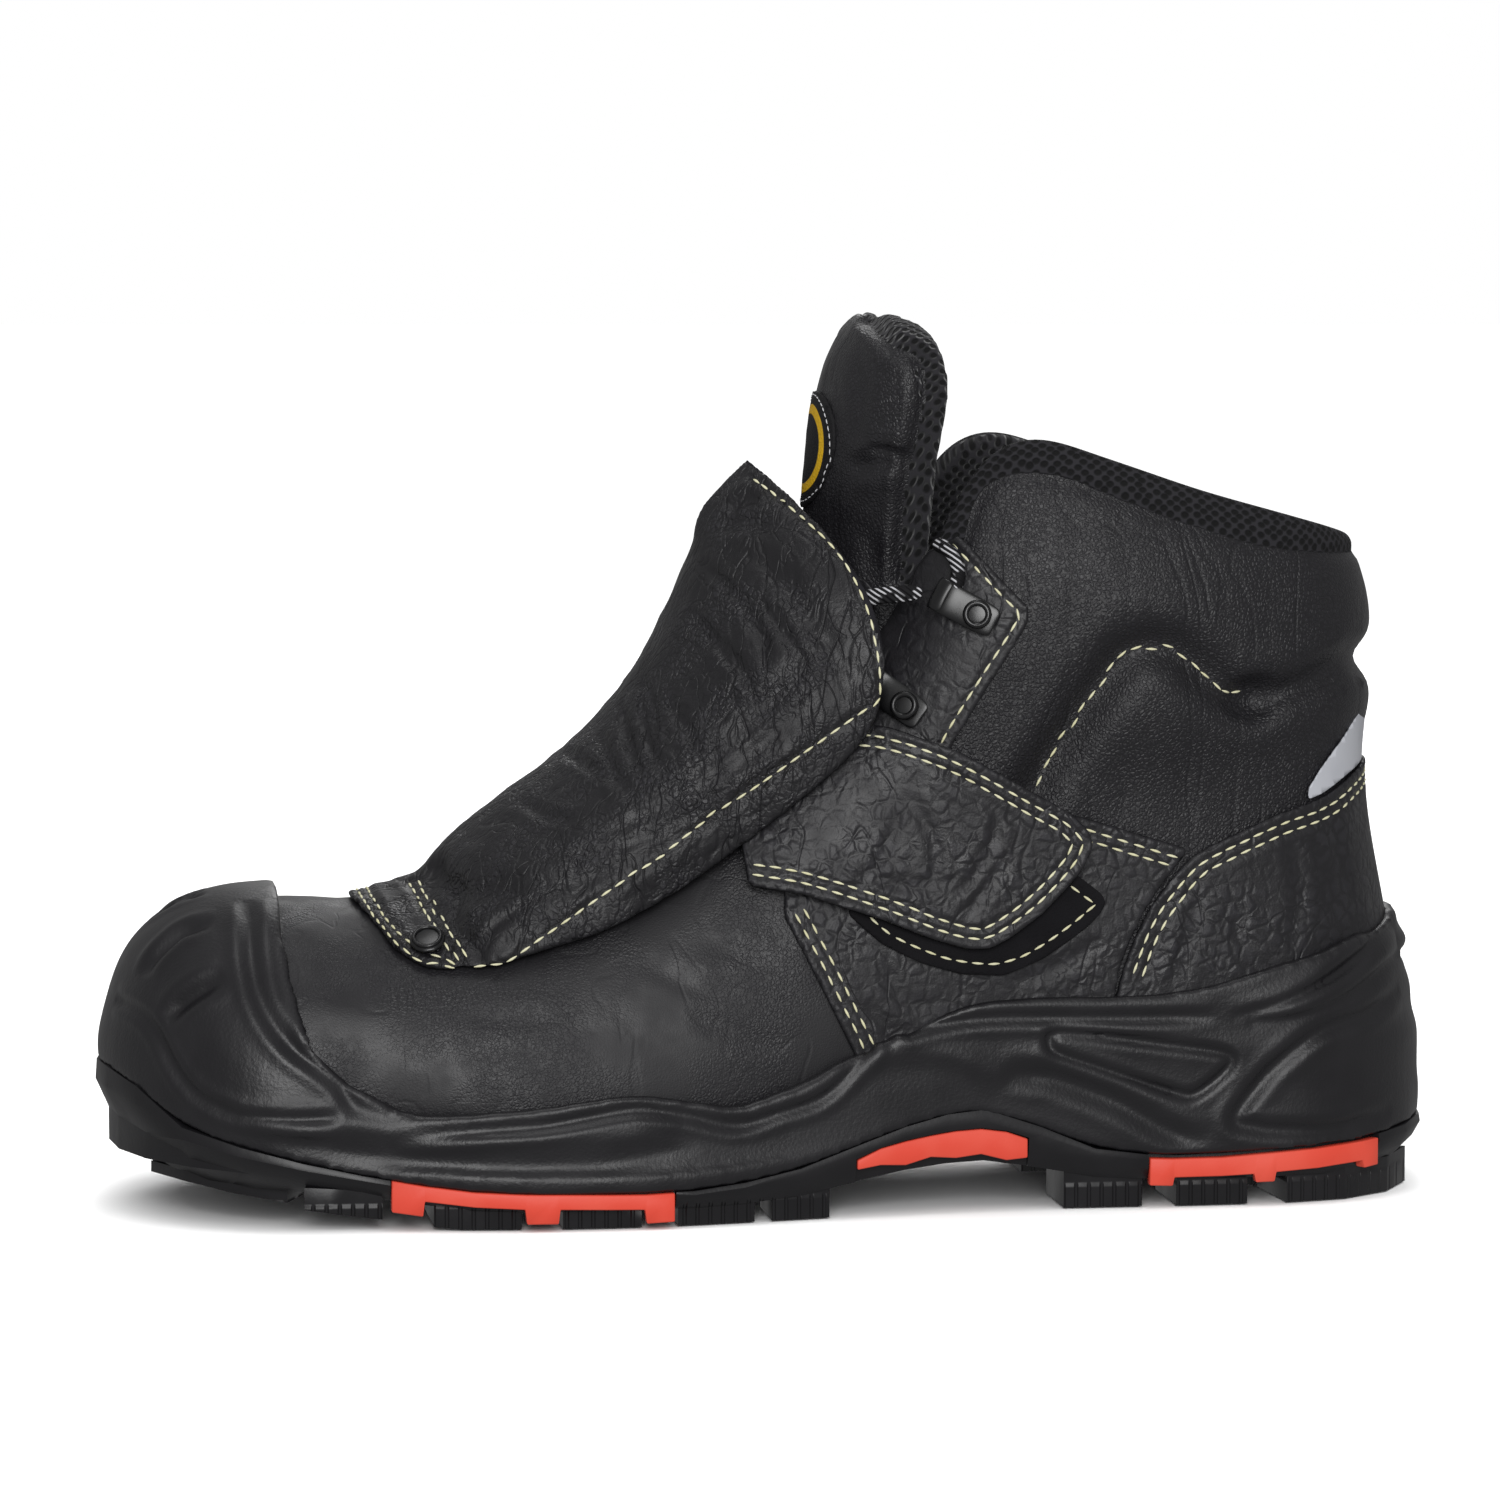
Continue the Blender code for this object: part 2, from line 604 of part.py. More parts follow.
def add_ribbon(shape, medial, rows, outer, inner, grow=0.0):
    """A bar along the edge of the sole. Rows hold the place along it, the lower and the upper height."""
    rings = []
    for s, low, high in rows:
        rings.append([edge_spot(medial, s, outer, low - grow), edge_spot(medial, s, outer, high + grow),
                      edge_spot(medial, s, inner, high + grow), edge_spot(medial, s, inner, low - grow)])
    for first, second in zip(rings, rings[1:]):
        for k in range(4):
            shape.face(first[k], first[(k + 1) % 4], second[(k + 1) % 4], second[k])
    shape.face(*rings[0][::-1])
    shape.face(*rings[-1])


def spread(start, end, low, high, steps):
    """Evenly spaced rows for a ribbon; low and high are functions of the place."""
    out = []
    for k in range(steps + 1):
        s = start + (end - start) * k / steps
        out.append((s, low(s), high(s)))
    return out


# Lugs along each edge, by x, with how far they reach inwards, and the blocks between them.
LUGS = [(-219.0, -200.5, 26.0), (-189.0, -169.3, 28.0), (-160.0, -142.0, 28.0), (-133.6, -115.6, 26.0),
        (-111.5, -97.8, 22.0), (-42.0, -23.5, 24.0), (-15.4, 1.5, 26.0)]
HEEL_LUG = (11.0, 50.0, 26.0)  # along the heel curve, from its start
TOE_LUG = (18.0, 62.0, 20.0)  # along the toe curve, from the tip
BLOCKS = [
    # x, y, length, width
    (-200.0, 4.0, 14.0, 26.0),
    (-176.0, 4.0, 16.0, 30.0),
    (-150.0, 1.0, 16.0, 34.0),
    (-124.0, -3.0, 14.0, 28.0),
    (-28.0, 0.0, 14.0, 22.0),
    (0.0, 0.0, 18.0, 24.0),
]


def tread_z(s):
    """Underside of the lugs: flat on the floor, lifted and shallower at the toe."""
    share = min(max((s - 0.4 * TOE_ARC) / (0.6 * TOE_ARC), 0.0), 1.0)
    depth = TOE_LUG_DEPTH + (LUG_DEPTH - TOE_LUG_DEPTH) * share
    return max(0.0, UNDER(s) - depth) if s < place_of("side", -150.0) else 0.0


def add_block(shape, x, y, length, width, low, high):
    corners = [(x + a * length / 2, y + b * width / 2) for a, b in ((-1, -1), (1, -1), (1, 1), (-1, 1))]
    lower = [np.array([cx, cy, low]) for cx, cy in corners]
    upper = [np.array([cx, cy, high]) for cx, cy in corners]
    shape.face(*lower[::-1])
    shape.face(*upper)
    for k in range(4):
        shape.face(lower[k], lower[(k + 1) % 4], upper[(k + 1) % 4], upper[k])


def build_lugs():
    shape = Shape()
    heel_s = place_of("side", HEEL_CENTRE[0])
    for medial in (False, True):
        runs = [(place_of("side", a), place_of("side", b), depth) for a, b, depth in LUGS]
        runs.append((heel_s + HEEL_LUG[0] - 8.0, heel_s + HEEL_LUG[1] - 3.0, HEEL_LUG[2]))
        runs.append((TOE_LUG[0], TOE_LUG[1], TOE_LUG[2]))
        for start, end, depth in runs:
            heel_side = min(max((start - heel_s) / 20, 0), 1)
            toe_side = min(max((80 - end) / 20, 0), 1)
            inset = LUG_INSET + 3.5 * heel_side + 7.0 * toe_side
            rows = spread(start, end, tread_z, lambda s: UNDER(s) + LUG_ROOT, 3)
            add_ribbon(shape, medial, rows, inset, depth)
    for x, y, length, width in BLOCKS:
        s = place_of("side", x)
        add_block(shape, x, y, length, width, tread_z(s), UNDER(s) + LUG_ROOT)
    return shape.finish("lugs", "rubber", visible=False)


# Red inserts in the edge of the sole: x, lower and upper height below the rubber edge line.
INSERTS = {
    "forefoot": [(-198.6, 7.2, 0.0), (-191.6, 7.0, 0.0), (-191.2, 3.5, 0.0), (-180.0, 3.4, 0.0),
                 (-168.7, 3.4, 0.0), (-168.3, 6.8, 0.0), (-161.2, 6.7, 0.0), (-160.8, 3.4, 0.0),
                 (-150.0, 3.4, 0.0), (-141.5, 3.4, 0.0), (-141.1, 6.6, 0.0), (-134.6, 6.6, 0.0)],
    "arch": [(-91.5, 5.6, 3.4), (-86.0, 6.8, 3.0), (-80.0, 8.9, 3.4), (-74.0, 8.8, 3.9), (-68.0, 10.6, 4.4),
             (-62.0, 10.4, 4.6), (-56.0, 11.0, 4.4), (-51.0, 8.6, 4.2)],
    "heel": [(-22.2, 7.2, 0.8), (-16.8, 7.2, 0.8), (-16.4, 5.2, 0.8), (-5.0, 5.2, 0.8), (2.6, 5.4, 0.8),
             (3.0, 7.4, 0.8), (7.4, 7.6, 0.8), (7.8, 5.4, 0.8), (16.0, 5.4, 0.8), (26.0, 5.4, 0.8),
             (26.4, 7.2, 0.8), (30.0, 7.2, 0.8)],
}


def insert_rows(rows, grow=0.0):
    out = []
    for x, down, top in rows:
        past = max(x - HEEL_CENTRE[0], 0.0)
        s = place_of("side", x - past) + past * 1.12
        out.append((s, RUBBER_Z(s) - down, RUBBER_Z(s) - top))
    first, last = out[0], out[-1]
    if grow:
        out[0] = (first[0] - grow, first[1], first[2])
        out[-1] = (last[0] + grow, last[1], last[2])
    return out


def build_inserts(outsole):
    for where, rows in INSERTS.items():
        for medial in (False, True):
            name = f"insert_{where}_{'medial' if medial else 'lateral'}"
            shape = Shape()
            add_ribbon(shape, medial, insert_rows(rows), 0.3, INSERT_DEPTH)
            shape.finish(name, "red rubber")
            recess = Shape()
            # The recess takes the whole edge under the bar, so that the legs hang between the lugs.
            below, above = (6.0, 0.0) if where == "arch" else (0.0, 3.0)
            grown = [(s, low - below, high + above) for s, low, high in insert_rows(rows, GAP)]
            add_ribbon(recess, medial, grown, -3.0, INSERT_DEPTH + GAP, GAP)
            boolean(outsole, recess.finish(name.replace("insert", "recess"), "rubber", False), "DIFFERENCE")


def area_of(ring):
    return sum(p[0] * q[1] - q[0] * p[1] for p, q in zip(ring[-1:] + ring[:-1], ring)) / 2


def without_spikes(ring):
    """The ring without the corners at which it turns straight back, which a cut along a line leaves."""
    out = list(ring)
    k = 0
    while k < len(out) and len(out) > 2:
        (a, b), (c, d), (e, f) = out[k - 1], out[k], out[(k + 1) % len(out)]
        back = (c - a) * (e - c) + (d - b) * (f - d) < 0
        if back and abs((c - a) * (f - d) - (d - b) * (e - c)) < 1e-9:
            del out[k]
            k = max(k - 2, 0)
        else:
            k += 1
    return out


def overlay(name, kind, face, outline, low, high):
    """A flat pattern, cut by its outline and formed on the surface between two lifts."""
    # A corner on a line of the grid would leave slivers, so it is moved a hair off it.
    ring = [tuple(c + 0.007 if abs(c - round(c)) < 0.004 else c for c in spot) for spot in outline]
    ring = ring if area_of(outline) > 0 else ring[::-1]
    shape = Shape()
    edges = {}
    first, last = math.floor(min(p[0] for p in ring)), math.ceil(max(p[0] for p in ring))
    bottom, top = int(min(p[1] for p in ring)), math.ceil(max(p[1] for p in ring))

    def spot(key, lift):
        return face.at(*key, lift)

    for i in range(first, last):
        for j in range(bottom, min(top, face.up)):
            for triangle in (((i, j), (i + 1, j + 1), (i, j + 1)), ((i, j), (i + 1, j), (i + 1, j + 1))):
                piece = [(round(a, 4), round(b, 4)) for a, b in cut_by_triangle(ring, triangle)]
                piece = without_spikes([p for k, p in enumerate(piece) if p != piece[k - 1]])
                if len(piece) < 3 or abs(area_of(piece)) < 5e-10:
                    continue
                shape.face(*[spot(key, high) for key in piece])
                shape.face(*[spot(key, low) for key in reversed(piece)])
                for k, p in enumerate(piece):
                    pair = (piece[k - 1], p)
                    if (pair[1], pair[0]) in edges:
                        del edges[(pair[1], pair[0])]
                    else:
                        edges[pair] = True
    for p, q in edges:
        shape.face(spot(p, low), spot(q, low), spot(q, high), spot(p, high))
    return shape.finish(name, kind)


EYESTAY_LEVEL = LEVELS - 0.35
EYESTAY_STATIONS = (13.2, 14.0, 15.0, 16.0, 17.0, 17.3)  # along the edge of the throat
LATERAL = range(0, HALF_COUNT)
MEDIAL = range(HALF_COUNT, COUNT)


def seen(points, medial=False):
    """Side-view (x, z) points as places on the skin."""
    return [SKIN_FACE.find(x, z, MEDIAL if medial else LATERAL) for x, z in points]


def mirrored(points):
    return [(COUNT - a, b) for a, b in points]


def foam_line(start, end, raise_by=0.11):
    """The edge of the foam between two stations."""
    step = 1 if end > start else -1
    # A stop is kept away from both ends, where it would fold the outline back.
    clear = 0.3
    inner = range(math.ceil(min(start, end) + clear - 0.5), math.floor(max(start, end) + 0.5 - clear))
    stops = [start] + [k + 0.5 for k in inner][::step] + [end]
    out = []
    for a in stops:
        low, high = math.floor(a) % COUNT, math.ceil(a) % COUNT
        f = a - math.floor(a)
        out.append((a, foam_level(low) * (1 - f) + foam_level(high) * f + raise_by))
    return out


# Overlay outlines seen from the side, in x and z.
COUNTER_TOP = [(28.0, 97.6), (21.0, 94.0), (8.7, 90.5), (-7.5, 83.7), (-12.1, 81.2), (-17.7, 75.4),
               (-22.1, 69.7), (-25.9, 62.4), (-28.8, 55.0), (-30.2, 51.0)]
COUNTER_CREST_Z = 102.0  # heights at the middle of the back
STRIP_TOP_Z = 114.0
STRIP_FOOT_Z = 103.0
STRIP_LOW = [(17.0, 93.6), (21.0, 94.9), (28.0, 98.6)]
STRIP_EDGE = [(30.6, 112.0), (27.0, 107.8), (23.9, 104.6), (20.3, 100.6), (18.0, 97.0)]
QUARTER = [(-91.5, 36.8), (-99.6, 53.3), (-107.8, 69.3), (-107.0, 79.0), (-98.0, 88.5), (-85.0, 94.5),
           (-62.0, 96.0), (-37.2, 90.7), (-12.6, 83.0), (-18.6, 75.6), (-22.9, 69.7), (-26.7, 62.4),
           (-29.6, 55.0), (-31.0, 51.0)]
EYESTAY = [(-54.0, 142.7), (-50.9, 139.6), (-50.7, 136.3), (-60.0, 121.5), (-67.8, 108.9), (-71.5, 99.8),
           (-86.0, 98.6), (-101.0, 93.5), (-116.0, 90.0)]
PILE = [(-93.4, 69.8), (-85.4, 62.6), (-76.0, 58.0), (-66.7, 55.2), (-56.8, 54.8), (-47.6, 58.4),
        (-36.8, 65.8), (-32.6, 70.6), (-33.4, 73.0), (-39.9, 78.0), (-60.0, 84.0), (-85.0, 82.0)]
STRAP = [(-90.0, 113.0), (-82.3, 112.0), (-67.4, 106.6), (-48.6, 96.2), (-41.0, 91.9), (-37.2, 88.0),
         (-36.0, 84.5), (-39.0, 78.6), (-47.6, 69.7), (-55.2, 64.1), (-60.5, 61.4), (-66.0, 61.4),
         (-74.6, 64.0), (-85.3, 68.3), (-103.7, 74.4), (-116.0, 76.5)]


def build_overlays():
    counter = seen(COUNTER_TOP)
    back = float(HALF_COUNT)
    crest = (back, level_at(HALF_COUNT, COUNTER_CREST_Z))
    last = counter[-1][0]
    outline = [crest] + counter + foam_line(last, COUNT - last) + mirrored(counter)[::-1]
    overlay("heel_counter", "grained leather", SKIN_FACE, outline, GAP, GAP + LEATHER)
    low = seen(STRIP_LOW)
    edge = seen(STRIP_EDGE)
    outline = ([(back, level_at(HALF_COUNT, STRIP_TOP_Z))] + edge + low + [(back, level_at(HALF_COUNT, STRIP_FOOT_Z))]
               + mirrored(low)[::-1] + mirrored(edge)[::-1])
    overlay("heel_reflective_strip", "grey reflective film", SKIN_FACE, outline, GAP, GAP + FILM_THICK)
    for medial in (False, True):
        side = "medial" if medial else "lateral"
        quarter = seen(QUARTER, medial)
        overlay(f"quarter_{side}", "grained leather", SKIN_FACE,
                foam_line(quarter[-1][0], quarter[0][0]) + quarter, GAP, GAP + LEATHER)
        stay = seen(EYESTAY, medial)
        run = [(COUNT - a if medial else a, EYESTAY_LEVEL) for a in EYESTAY_STATIONS]
        overlay(f"eyestay_{side}", "smooth leather", SKIN_FACE, run + stay, GAP, GAP + LEATHER)
    over_quarter = GAP + LEATHER + GAP
    overlay("pile_pad", "pile tape", SKIN_FACE, seen(PILE), over_quarter, over_quarter + PILE_THICK)
    over_pile = over_quarter + PILE_THICK + GAP
    overlay("strap", "grained leather", SKIN_FACE, seen(STRAP), over_pile, over_pile + STRAP_THICK)


def normals_of(grid):
    """Unit normals of a grid of points, outwards for rows that run up and columns from lateral to medial."""
    up = np.gradient(grid, axis=0)
    sideways = np.gradient(grid, axis=1)
    normals = np.cross(up, sideways)
    return normals / np.linalg.norm(normals, axis=2, keepdims=True)


def through(rows, steps):
    """A smooth run of steps + 1 items through rows of points."""
    rows = np.array(rows, float)
    knots = np.linspace(0.0, 1.0, len(rows))
    flat = rows.reshape(len(rows), -1)
    curves = [spline(knots, flat[:, c]) for c in range(flat.shape[1])]
    spots = [[curve(k / steps) for curve in curves] for k in range(steps + 1)]
    return np.array(spots).reshape(steps + 1, *rows.shape[1:])


def build_panel(name, kind, grid, thickness):
    """A closed sheet whose outer face is the grid."""
    inner = grid - normals_of(grid) * thickness[..., None]
    shape = Shape()
    for k in range(len(grid) - 1):
        shape.strip(grid[k], grid[k + 1])
        shape.strip(inner[k + 1], inner[k])
    for row, under in ((grid[0], inner[0]), (grid[-1], inner[-1]), (grid[:, 0], inner[:, 0]),
                       (grid[:, -1], inner[:, -1])):
        shape.strip(row, under)
    return shape.finish(name, kind)


# Tongue: outer face at the middle, at the side of the opening and at the edge, from the toe end upwards.
TONGUE = [
    # x, z, side x, side y, side z, edge x, edge y, edge z, thickness
    (-129.5, 92.6, -128.5, 9.0, 91.0, -126.5, 16.5, 87.0, 3.0),
    (-119.0, 106.0, -115.0, 10.5, 102.0, -109.0, 21.0, 95.0, 3.2),
    (-108.0, 124.0, -100.0, 14.0, 116.5, -92.0, 22.5, 106.0, 4.0),
    (-101.0, 143.0, -90.0, 16.5, 136.0, -78.0, 23.5, 121.0, 4.5),
    (-98.5, 160.0, -86.0, 20.0, 155.5, -72.0, 22.0, 144.0, 5.0),
    (-96.8, 177.0, -84.5, 26.5, 175.0, -71.0, 29.0, 171.5, 5.5),
    (-94.5, 191.0, -83.0, 29.0, 190.0, -68.0, 31.0, 187.0, 5.5),
    (-90.0, 201.5, -80.5, 26.0, 202.0, -69.0, 28.0, 198.0, 5.0),
    (-84.5, 206.3, -77.0, 19.0, 206.5, -71.0, 22.0, 202.5, 3.5),
]
TONGUE_ROWS = 13
TONGUE_COLUMNS = 10


def tongue_grid():
    rows = []
    for x, z, sx, sy, sz, ex, ey, ez, thickness in TONGUE:
        corners = [(ex, -ey, ez), (sx, -sy, sz), (x, 0.0, z), (sx, sy, sz), (ex, ey, ez)]
        rows.append(through(corners, TONGUE_COLUMNS))
    grid = through(rows, TONGUE_ROWS)
    along = through([[row[-1]] for row in TONGUE], TONGUE_ROWS)
    edge = 1 - 0.35 * np.abs(np.linspace(-1, 1, TONGUE_COLUMNS + 1)) ** 4
    return grid, along * edge[None, :]


# Guard flap: outer face at the ridge, its shoulder, its side and its lower edge, from the front tab to the
# back edge. The lift is how far the edge stands off the skin; the two tab rows follow the skin all over.
GUARD = [
    # ridge x, z, shoulder x, y, z, side x, y, z, edge x, z, lift, thickness at the ridge
    (-205.0, 72.7, -198.0, None, 63.2, -194.8, None, 60.0, -190.5, 57.2, 2.8, 2.4),
    (-190.0, 75.6, -186.0, None, 66.0, -183.5, None, 60.4, -180.0, 56.4, 2.9, 2.4),
    (-184.5, 83.0, -179.0, 27.0, 73.5, -175.5, 36.5, 65.5, -171.5, 57.6, 3.2, 6.5),
    (-174.0, 92.0, -168.5, 28.0, 82.0, -166.0, 37.5, 71.5, -162.5, 60.0, 3.6, 8.0),
    (-160.0, 101.5, -154.5, 29.0, 91.5, -152.0, 38.5, 78.5, -150.0, 63.6, 4.0, 9.0),
    (-146.5, 113.5, -140.5, 29.5, 103.0, -139.0, 38.5, 87.0, -138.0, 68.8, 4.4, 9.0),
    (-136.0, 128.5, -127.5, 30.0, 115.0, -127.0, 39.0, 96.5, -127.0, 75.0, 4.8, 9.0),
    (-127.8, 147.0, -116.0, 30.0, 130.0, -115.0, 39.5, 107.0, -115.5, 82.6, 6.4, 8.5),
    (-121.5, 161.5, -105.5, 30.5, 143.0, -102.5, 40.5, 117.5, -103.5, 91.0, 9.4, 7.0),
    (-116.0, 167.0, -98.0, 31.0, 150.0, -92.0, 41.0, 124.0, -91.0, 100.8, 10.0, 4.5),
    (-110.5, 172.3, -93.0, 31.0, 153.0, -84.5, 41.5, 131.0, -83.6, 109.0, 10.0, 2.4),
]
GUARD_ROWS = 16
GUARD_COLUMNS = 14
RIDGE_Y = 1.5


def guard_grid():
    rows = []
    for rx, rz, mx, my, mz, nx, ny, nz, ex, ez, lift, _ in GUARD:
        lateral_y = 1.0
        halves = []
        for medial in (False, True):
            edge = on_skin(*seen([(ex, ez)], medial)[0], lift)
            # The medial side is drawn in as far as the foot is narrower there.
            share = 0.5 + 0.5 * edge[1] / lateral_y if medial else -1.0
            spots = [edge]
            for x, y, z in ((nx, ny, nz), (mx, my, mz)):
                if y is None:
                    spots.append(on_skin(*seen([(x, z)], medial)[0], lift))
                else:
                    spots.append(np.array([x, share * y, z]))
            halves.append(spots)
            lateral_y = max(abs(edge[1]), 1.0)
        ridge = np.array([rx, RIDGE_Y, rz])
        rows.append(through(halves[0] + [ridge] + halves[1][::-1], GUARD_COLUMNS))
    grid = through(rows, GUARD_ROWS)
    along = through([[row[-1]] for row in GUARD], GUARD_ROWS)
    across_share = np.clip(1.25 - 1.6 * np.abs(np.linspace(-1, 1, GUARD_COLUMNS + 1)), 0.0, 1.0)
    return grid, GUARD_SHEET + (along - GUARD_SHEET) * across_share[None, :] ** 0.7


def sweep(name, kind, path, half_width, half_height, up, sides=8):
    """A cord or strip along a path, its section turned by the up vectors."""
    shape = Shape()
    path = np.array(path, float)
    rings = []
    for k, spot in enumerate(path):
        ahead = path[min(k + 1, len(path) - 1)] - path[max(k - 1, 0)]
        ahead = ahead / np.linalg.norm(ahead)
        rise = np.array(up[k] if len(np.shape(up)) > 1 else up, float)
        rise = rise - ahead * np.dot(rise, ahead)
        rise = rise / np.linalg.norm(rise)
        aside = np.cross(ahead, rise)
        ring = []
        for m in range(sides):
            angle = 2 * math.pi * (m + 0.5) / sides
            ring.append(spot + aside * half_width * math.cos(angle) + rise * half_height * math.sin(angle))
        rings.append(ring)
    for first, second in zip(rings, rings[1:]):
        for m in range(sides):
            shape.face(first[m], first[(m + 1) % sides], second[(m + 1) % sides], second[m])
    shape.face(*rings[0][::-1])
    shape.face(*rings[-1])
    return shape.finish(name, kind)


def stud(name, kind, centre, normal, radius, height, sides=10):
    """A low domed rivet head standing on a point."""
    normal = normal / np.linalg.norm(normal)
    first = np.cross(normal, (0.0, 0.0, 1.0) if abs(normal[2]) < 0.9 else (1.0, 0.0, 0.0))
    first = first / np.linalg.norm(first)
    second = np.cross(normal, first)
    shape = Shape()
    rings = []
    for share, rise in ((1.0, 0.0), (1.0, 0.4), (0.86, 0.75), (0.5, 0.96)):
        turns = [2 * math.pi * k / sides for k in range(sides)]
        middle = centre + normal * height * rise
        rings.append([middle + radius * share * (first * math.cos(turn) + second * math.sin(turn))
                      for turn in turns])
    for low, high in zip(rings, rings[1:]):
        for k in range(sides):
            shape.face(low[k], low[(k + 1) % sides], high[(k + 1) % sides], high[k])
    tip = centre + normal * height
    for k in range(sides):
        shape.face(rings[-1][k], rings[-1][(k + 1) % sides], tip)
    shape.face(*rings[0][::-1])
    return shape.finish(name, kind)


# Lace hooks, from the side: rivet x, z and the direction in which the hook opens.
HOOKS = {"upper": (-62.0, 137.4, -8.6, 4.6), "lower": (-77.6, 116.0, -7.6, 5.4)}
# Middle of the hook's sheet, along it and away from the leather.
HOOK_PROFILE = [(-5.0, 0.0), (0.0, 0.0), (5.0, 0.0), (8.0, 0.2), (10.4, 1.4), (11.2, 3.4), (10.0, 5.2),
                (7.4, 5.6)]
HOOK_HALF = 4.2  # half its width
HOOK_CLEAR = 0.35


def build_hooks():
    over_stay = GAP + LEATHER + GAP
    for where, (x, z, dx, dz) in HOOKS.items():
        for medial in (False, True):
            side = "medial" if medial else "lateral"
            a, b = seen([(x, z)], medial)[0]
            centre = SKIN_FACE.at(a, b, 0.0)
            normal = SKIN_FACE.at(a, b, 1.0) - centre
            ahead = np.array([dx, 0.0, dz])
            ahead = ahead - normal * np.dot(ahead, normal)
            ahead = ahead / np.linalg.norm(ahead)
            base = centre + normal * (over_stay + HOOK_CLEAR + HOOK_PLATE / 2)
            path = [base + ahead * p + normal * q for p, q in HOOK_PROFILE]
            ups = []
            for k in range(len(HOOK_PROFILE)):
                p0, p1 = HOOK_PROFILE[max(k - 1, 0)], HOOK_PROFILE[min(k + 1, len(HOOK_PROFILE) - 1)]
                ups.append(normal * (p1[0] - p0[0]) - ahead * (p1[1] - p0[1]))
            sweep(f"hook_{where}_{side}", "black painted steel", path, HOOK_HALF, HOOK_PLATE * 0.54, ups)
            top = base + normal * (HOOK_PLATE / 2 + HOOK_CLEAR)
            stud(f"hook_rivet_{where}_{side}", "black painted steel", top, normal, 3.4, 1.7)


PATCH_HALF = (14.5, 14.0)  # half width and half height of the oval patch on the tongue
PATCH_Z = 176.0
PATCH_THICK = 0.9
KEEPER_THICK = 1.4


def build_tongue_patch(grid):
    face = Surface(np.swapaxes(grid, 0, 1), np.swapaxes(normals_of(grid), 0, 1))
    middle = TONGUE_COLUMNS // 2
    heights = face.points[middle, :, 2]
    row = float(np.interp(PATCH_Z, heights, range(len(heights))))
    per_row = np.linalg.norm(face.at(middle, row + 0.5) - face.at(middle, row - 0.5))
    per_column = np.linalg.norm(face.at(middle + 0.5, row) - face.at(middle - 0.5, row))
    outline = [(middle + PATCH_HALF[0] / per_column * math.cos(2 * math.pi * k / 24),
                row + PATCH_HALF[1] / per_row * math.sin(2 * math.pi * k / 24)) for k in range(24)]
    overlay("tongue_patch", "yellow thread", face, outline, GAP, GAP + PATCH_THICK)
    # The keeper is a short tab sewn on the tongue beside the opening.
    column, row = face.find(-86.0, 141.0, range(middle))
    corners = ((-1, -1), (1, -1), (1, 1), (-1, 1))
    keeper = [(column + along * 0.45, row + up * 0.3) for along, up in corners]
    overlay("lace_keeper", "lace cord", face, keeper, GAP, GAP + KEEPER_THICK)


def build_guard_rivets(grid):
    normals = normals_of(grid)
    for medial in (False, True):
        k = GUARD_COLUMNS - 3 if medial else 3
        stud(f"guard_rivet_{'medial' if medial else 'lateral'}", "black painted steel",
             grid[1, k] + normals[1, k] * RIVET_CLEAR, normals[1, k], 4.2, 1.8, 12)


# One lace run from the lower hook of one side, round the tongue, to the upper hook of the other: x, y, z.
LACE_RUN = [(-90.4, -36.0, 122.9), (-96.0, -31.5, 126.0), (-104.0, -22.0, 129.0), (-109.8, -10.0, 132.0),
            (-111.5, 0.0, 133.8), (-109.8, 10.0, 135.5), (-102.0, 22.0, 138.0), (-89.0, 31.5, 141.5),
            (-75.3, 38.9, 143.2)]


def build_laces():
    made = []
    for medial in (False, True):
        side = -1.0 if medial else 1.0
        path = through([(x, y * side, z) for x, y, z in LACE_RUN], 12)
        ups = [np.array([spot[0] + 68.0, spot[1], 0.25 * abs(spot[0] + 68.0)]) for spot in path]
        name = "lace_b" if medial else "lace"
        made.append(sweep(name, "lace cord", path, LACE_WIDTH, LACE_THICK, ups, 6))
    made[1].hide_render = True
    boolean(made[0], made[1], "UNION")


clear_scene()
build_upper()
form = build_form()
build_midsole(form)
sole = build_outsole_plate()
boolean(sole, build_lugs(), "UNION")
build_inserts(sole)
build_insole()
build_overlays()
tongue_points, tongue_depth = tongue_grid()
tongue = build_panel("tongue", "smooth leather", tongue_points, tongue_depth)
space = upper_shell(GAP + LEATHER + GAP, GAP).finish("upper_space", "smooth leather", False)
boolean(tongue, space, "DIFFERENCE")
build_tongue_patch(tongue_points)
guard_points, guard_depth = guard_grid()
guard = build_panel("guard_flap", "grained leather", guard_points, guard_depth)
boolean(guard, form, "DIFFERENCE")
build_guard_rivets(guard_points)
build_hooks()
build_laces()
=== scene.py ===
import math

import bpy
import numpy as np
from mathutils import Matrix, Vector
from mathutils.bvhtree import BVHTree


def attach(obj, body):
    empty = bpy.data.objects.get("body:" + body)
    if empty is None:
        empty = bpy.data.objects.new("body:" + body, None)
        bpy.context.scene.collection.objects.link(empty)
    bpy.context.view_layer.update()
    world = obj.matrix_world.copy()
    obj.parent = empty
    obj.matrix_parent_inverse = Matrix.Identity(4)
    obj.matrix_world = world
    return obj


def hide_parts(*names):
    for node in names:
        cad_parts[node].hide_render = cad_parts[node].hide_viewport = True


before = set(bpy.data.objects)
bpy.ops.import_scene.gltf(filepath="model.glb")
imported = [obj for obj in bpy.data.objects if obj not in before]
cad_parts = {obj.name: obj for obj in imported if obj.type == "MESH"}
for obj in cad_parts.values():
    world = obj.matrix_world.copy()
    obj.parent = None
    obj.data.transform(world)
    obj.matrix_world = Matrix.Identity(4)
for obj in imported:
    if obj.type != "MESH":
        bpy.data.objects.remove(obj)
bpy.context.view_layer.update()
mm = 0.001

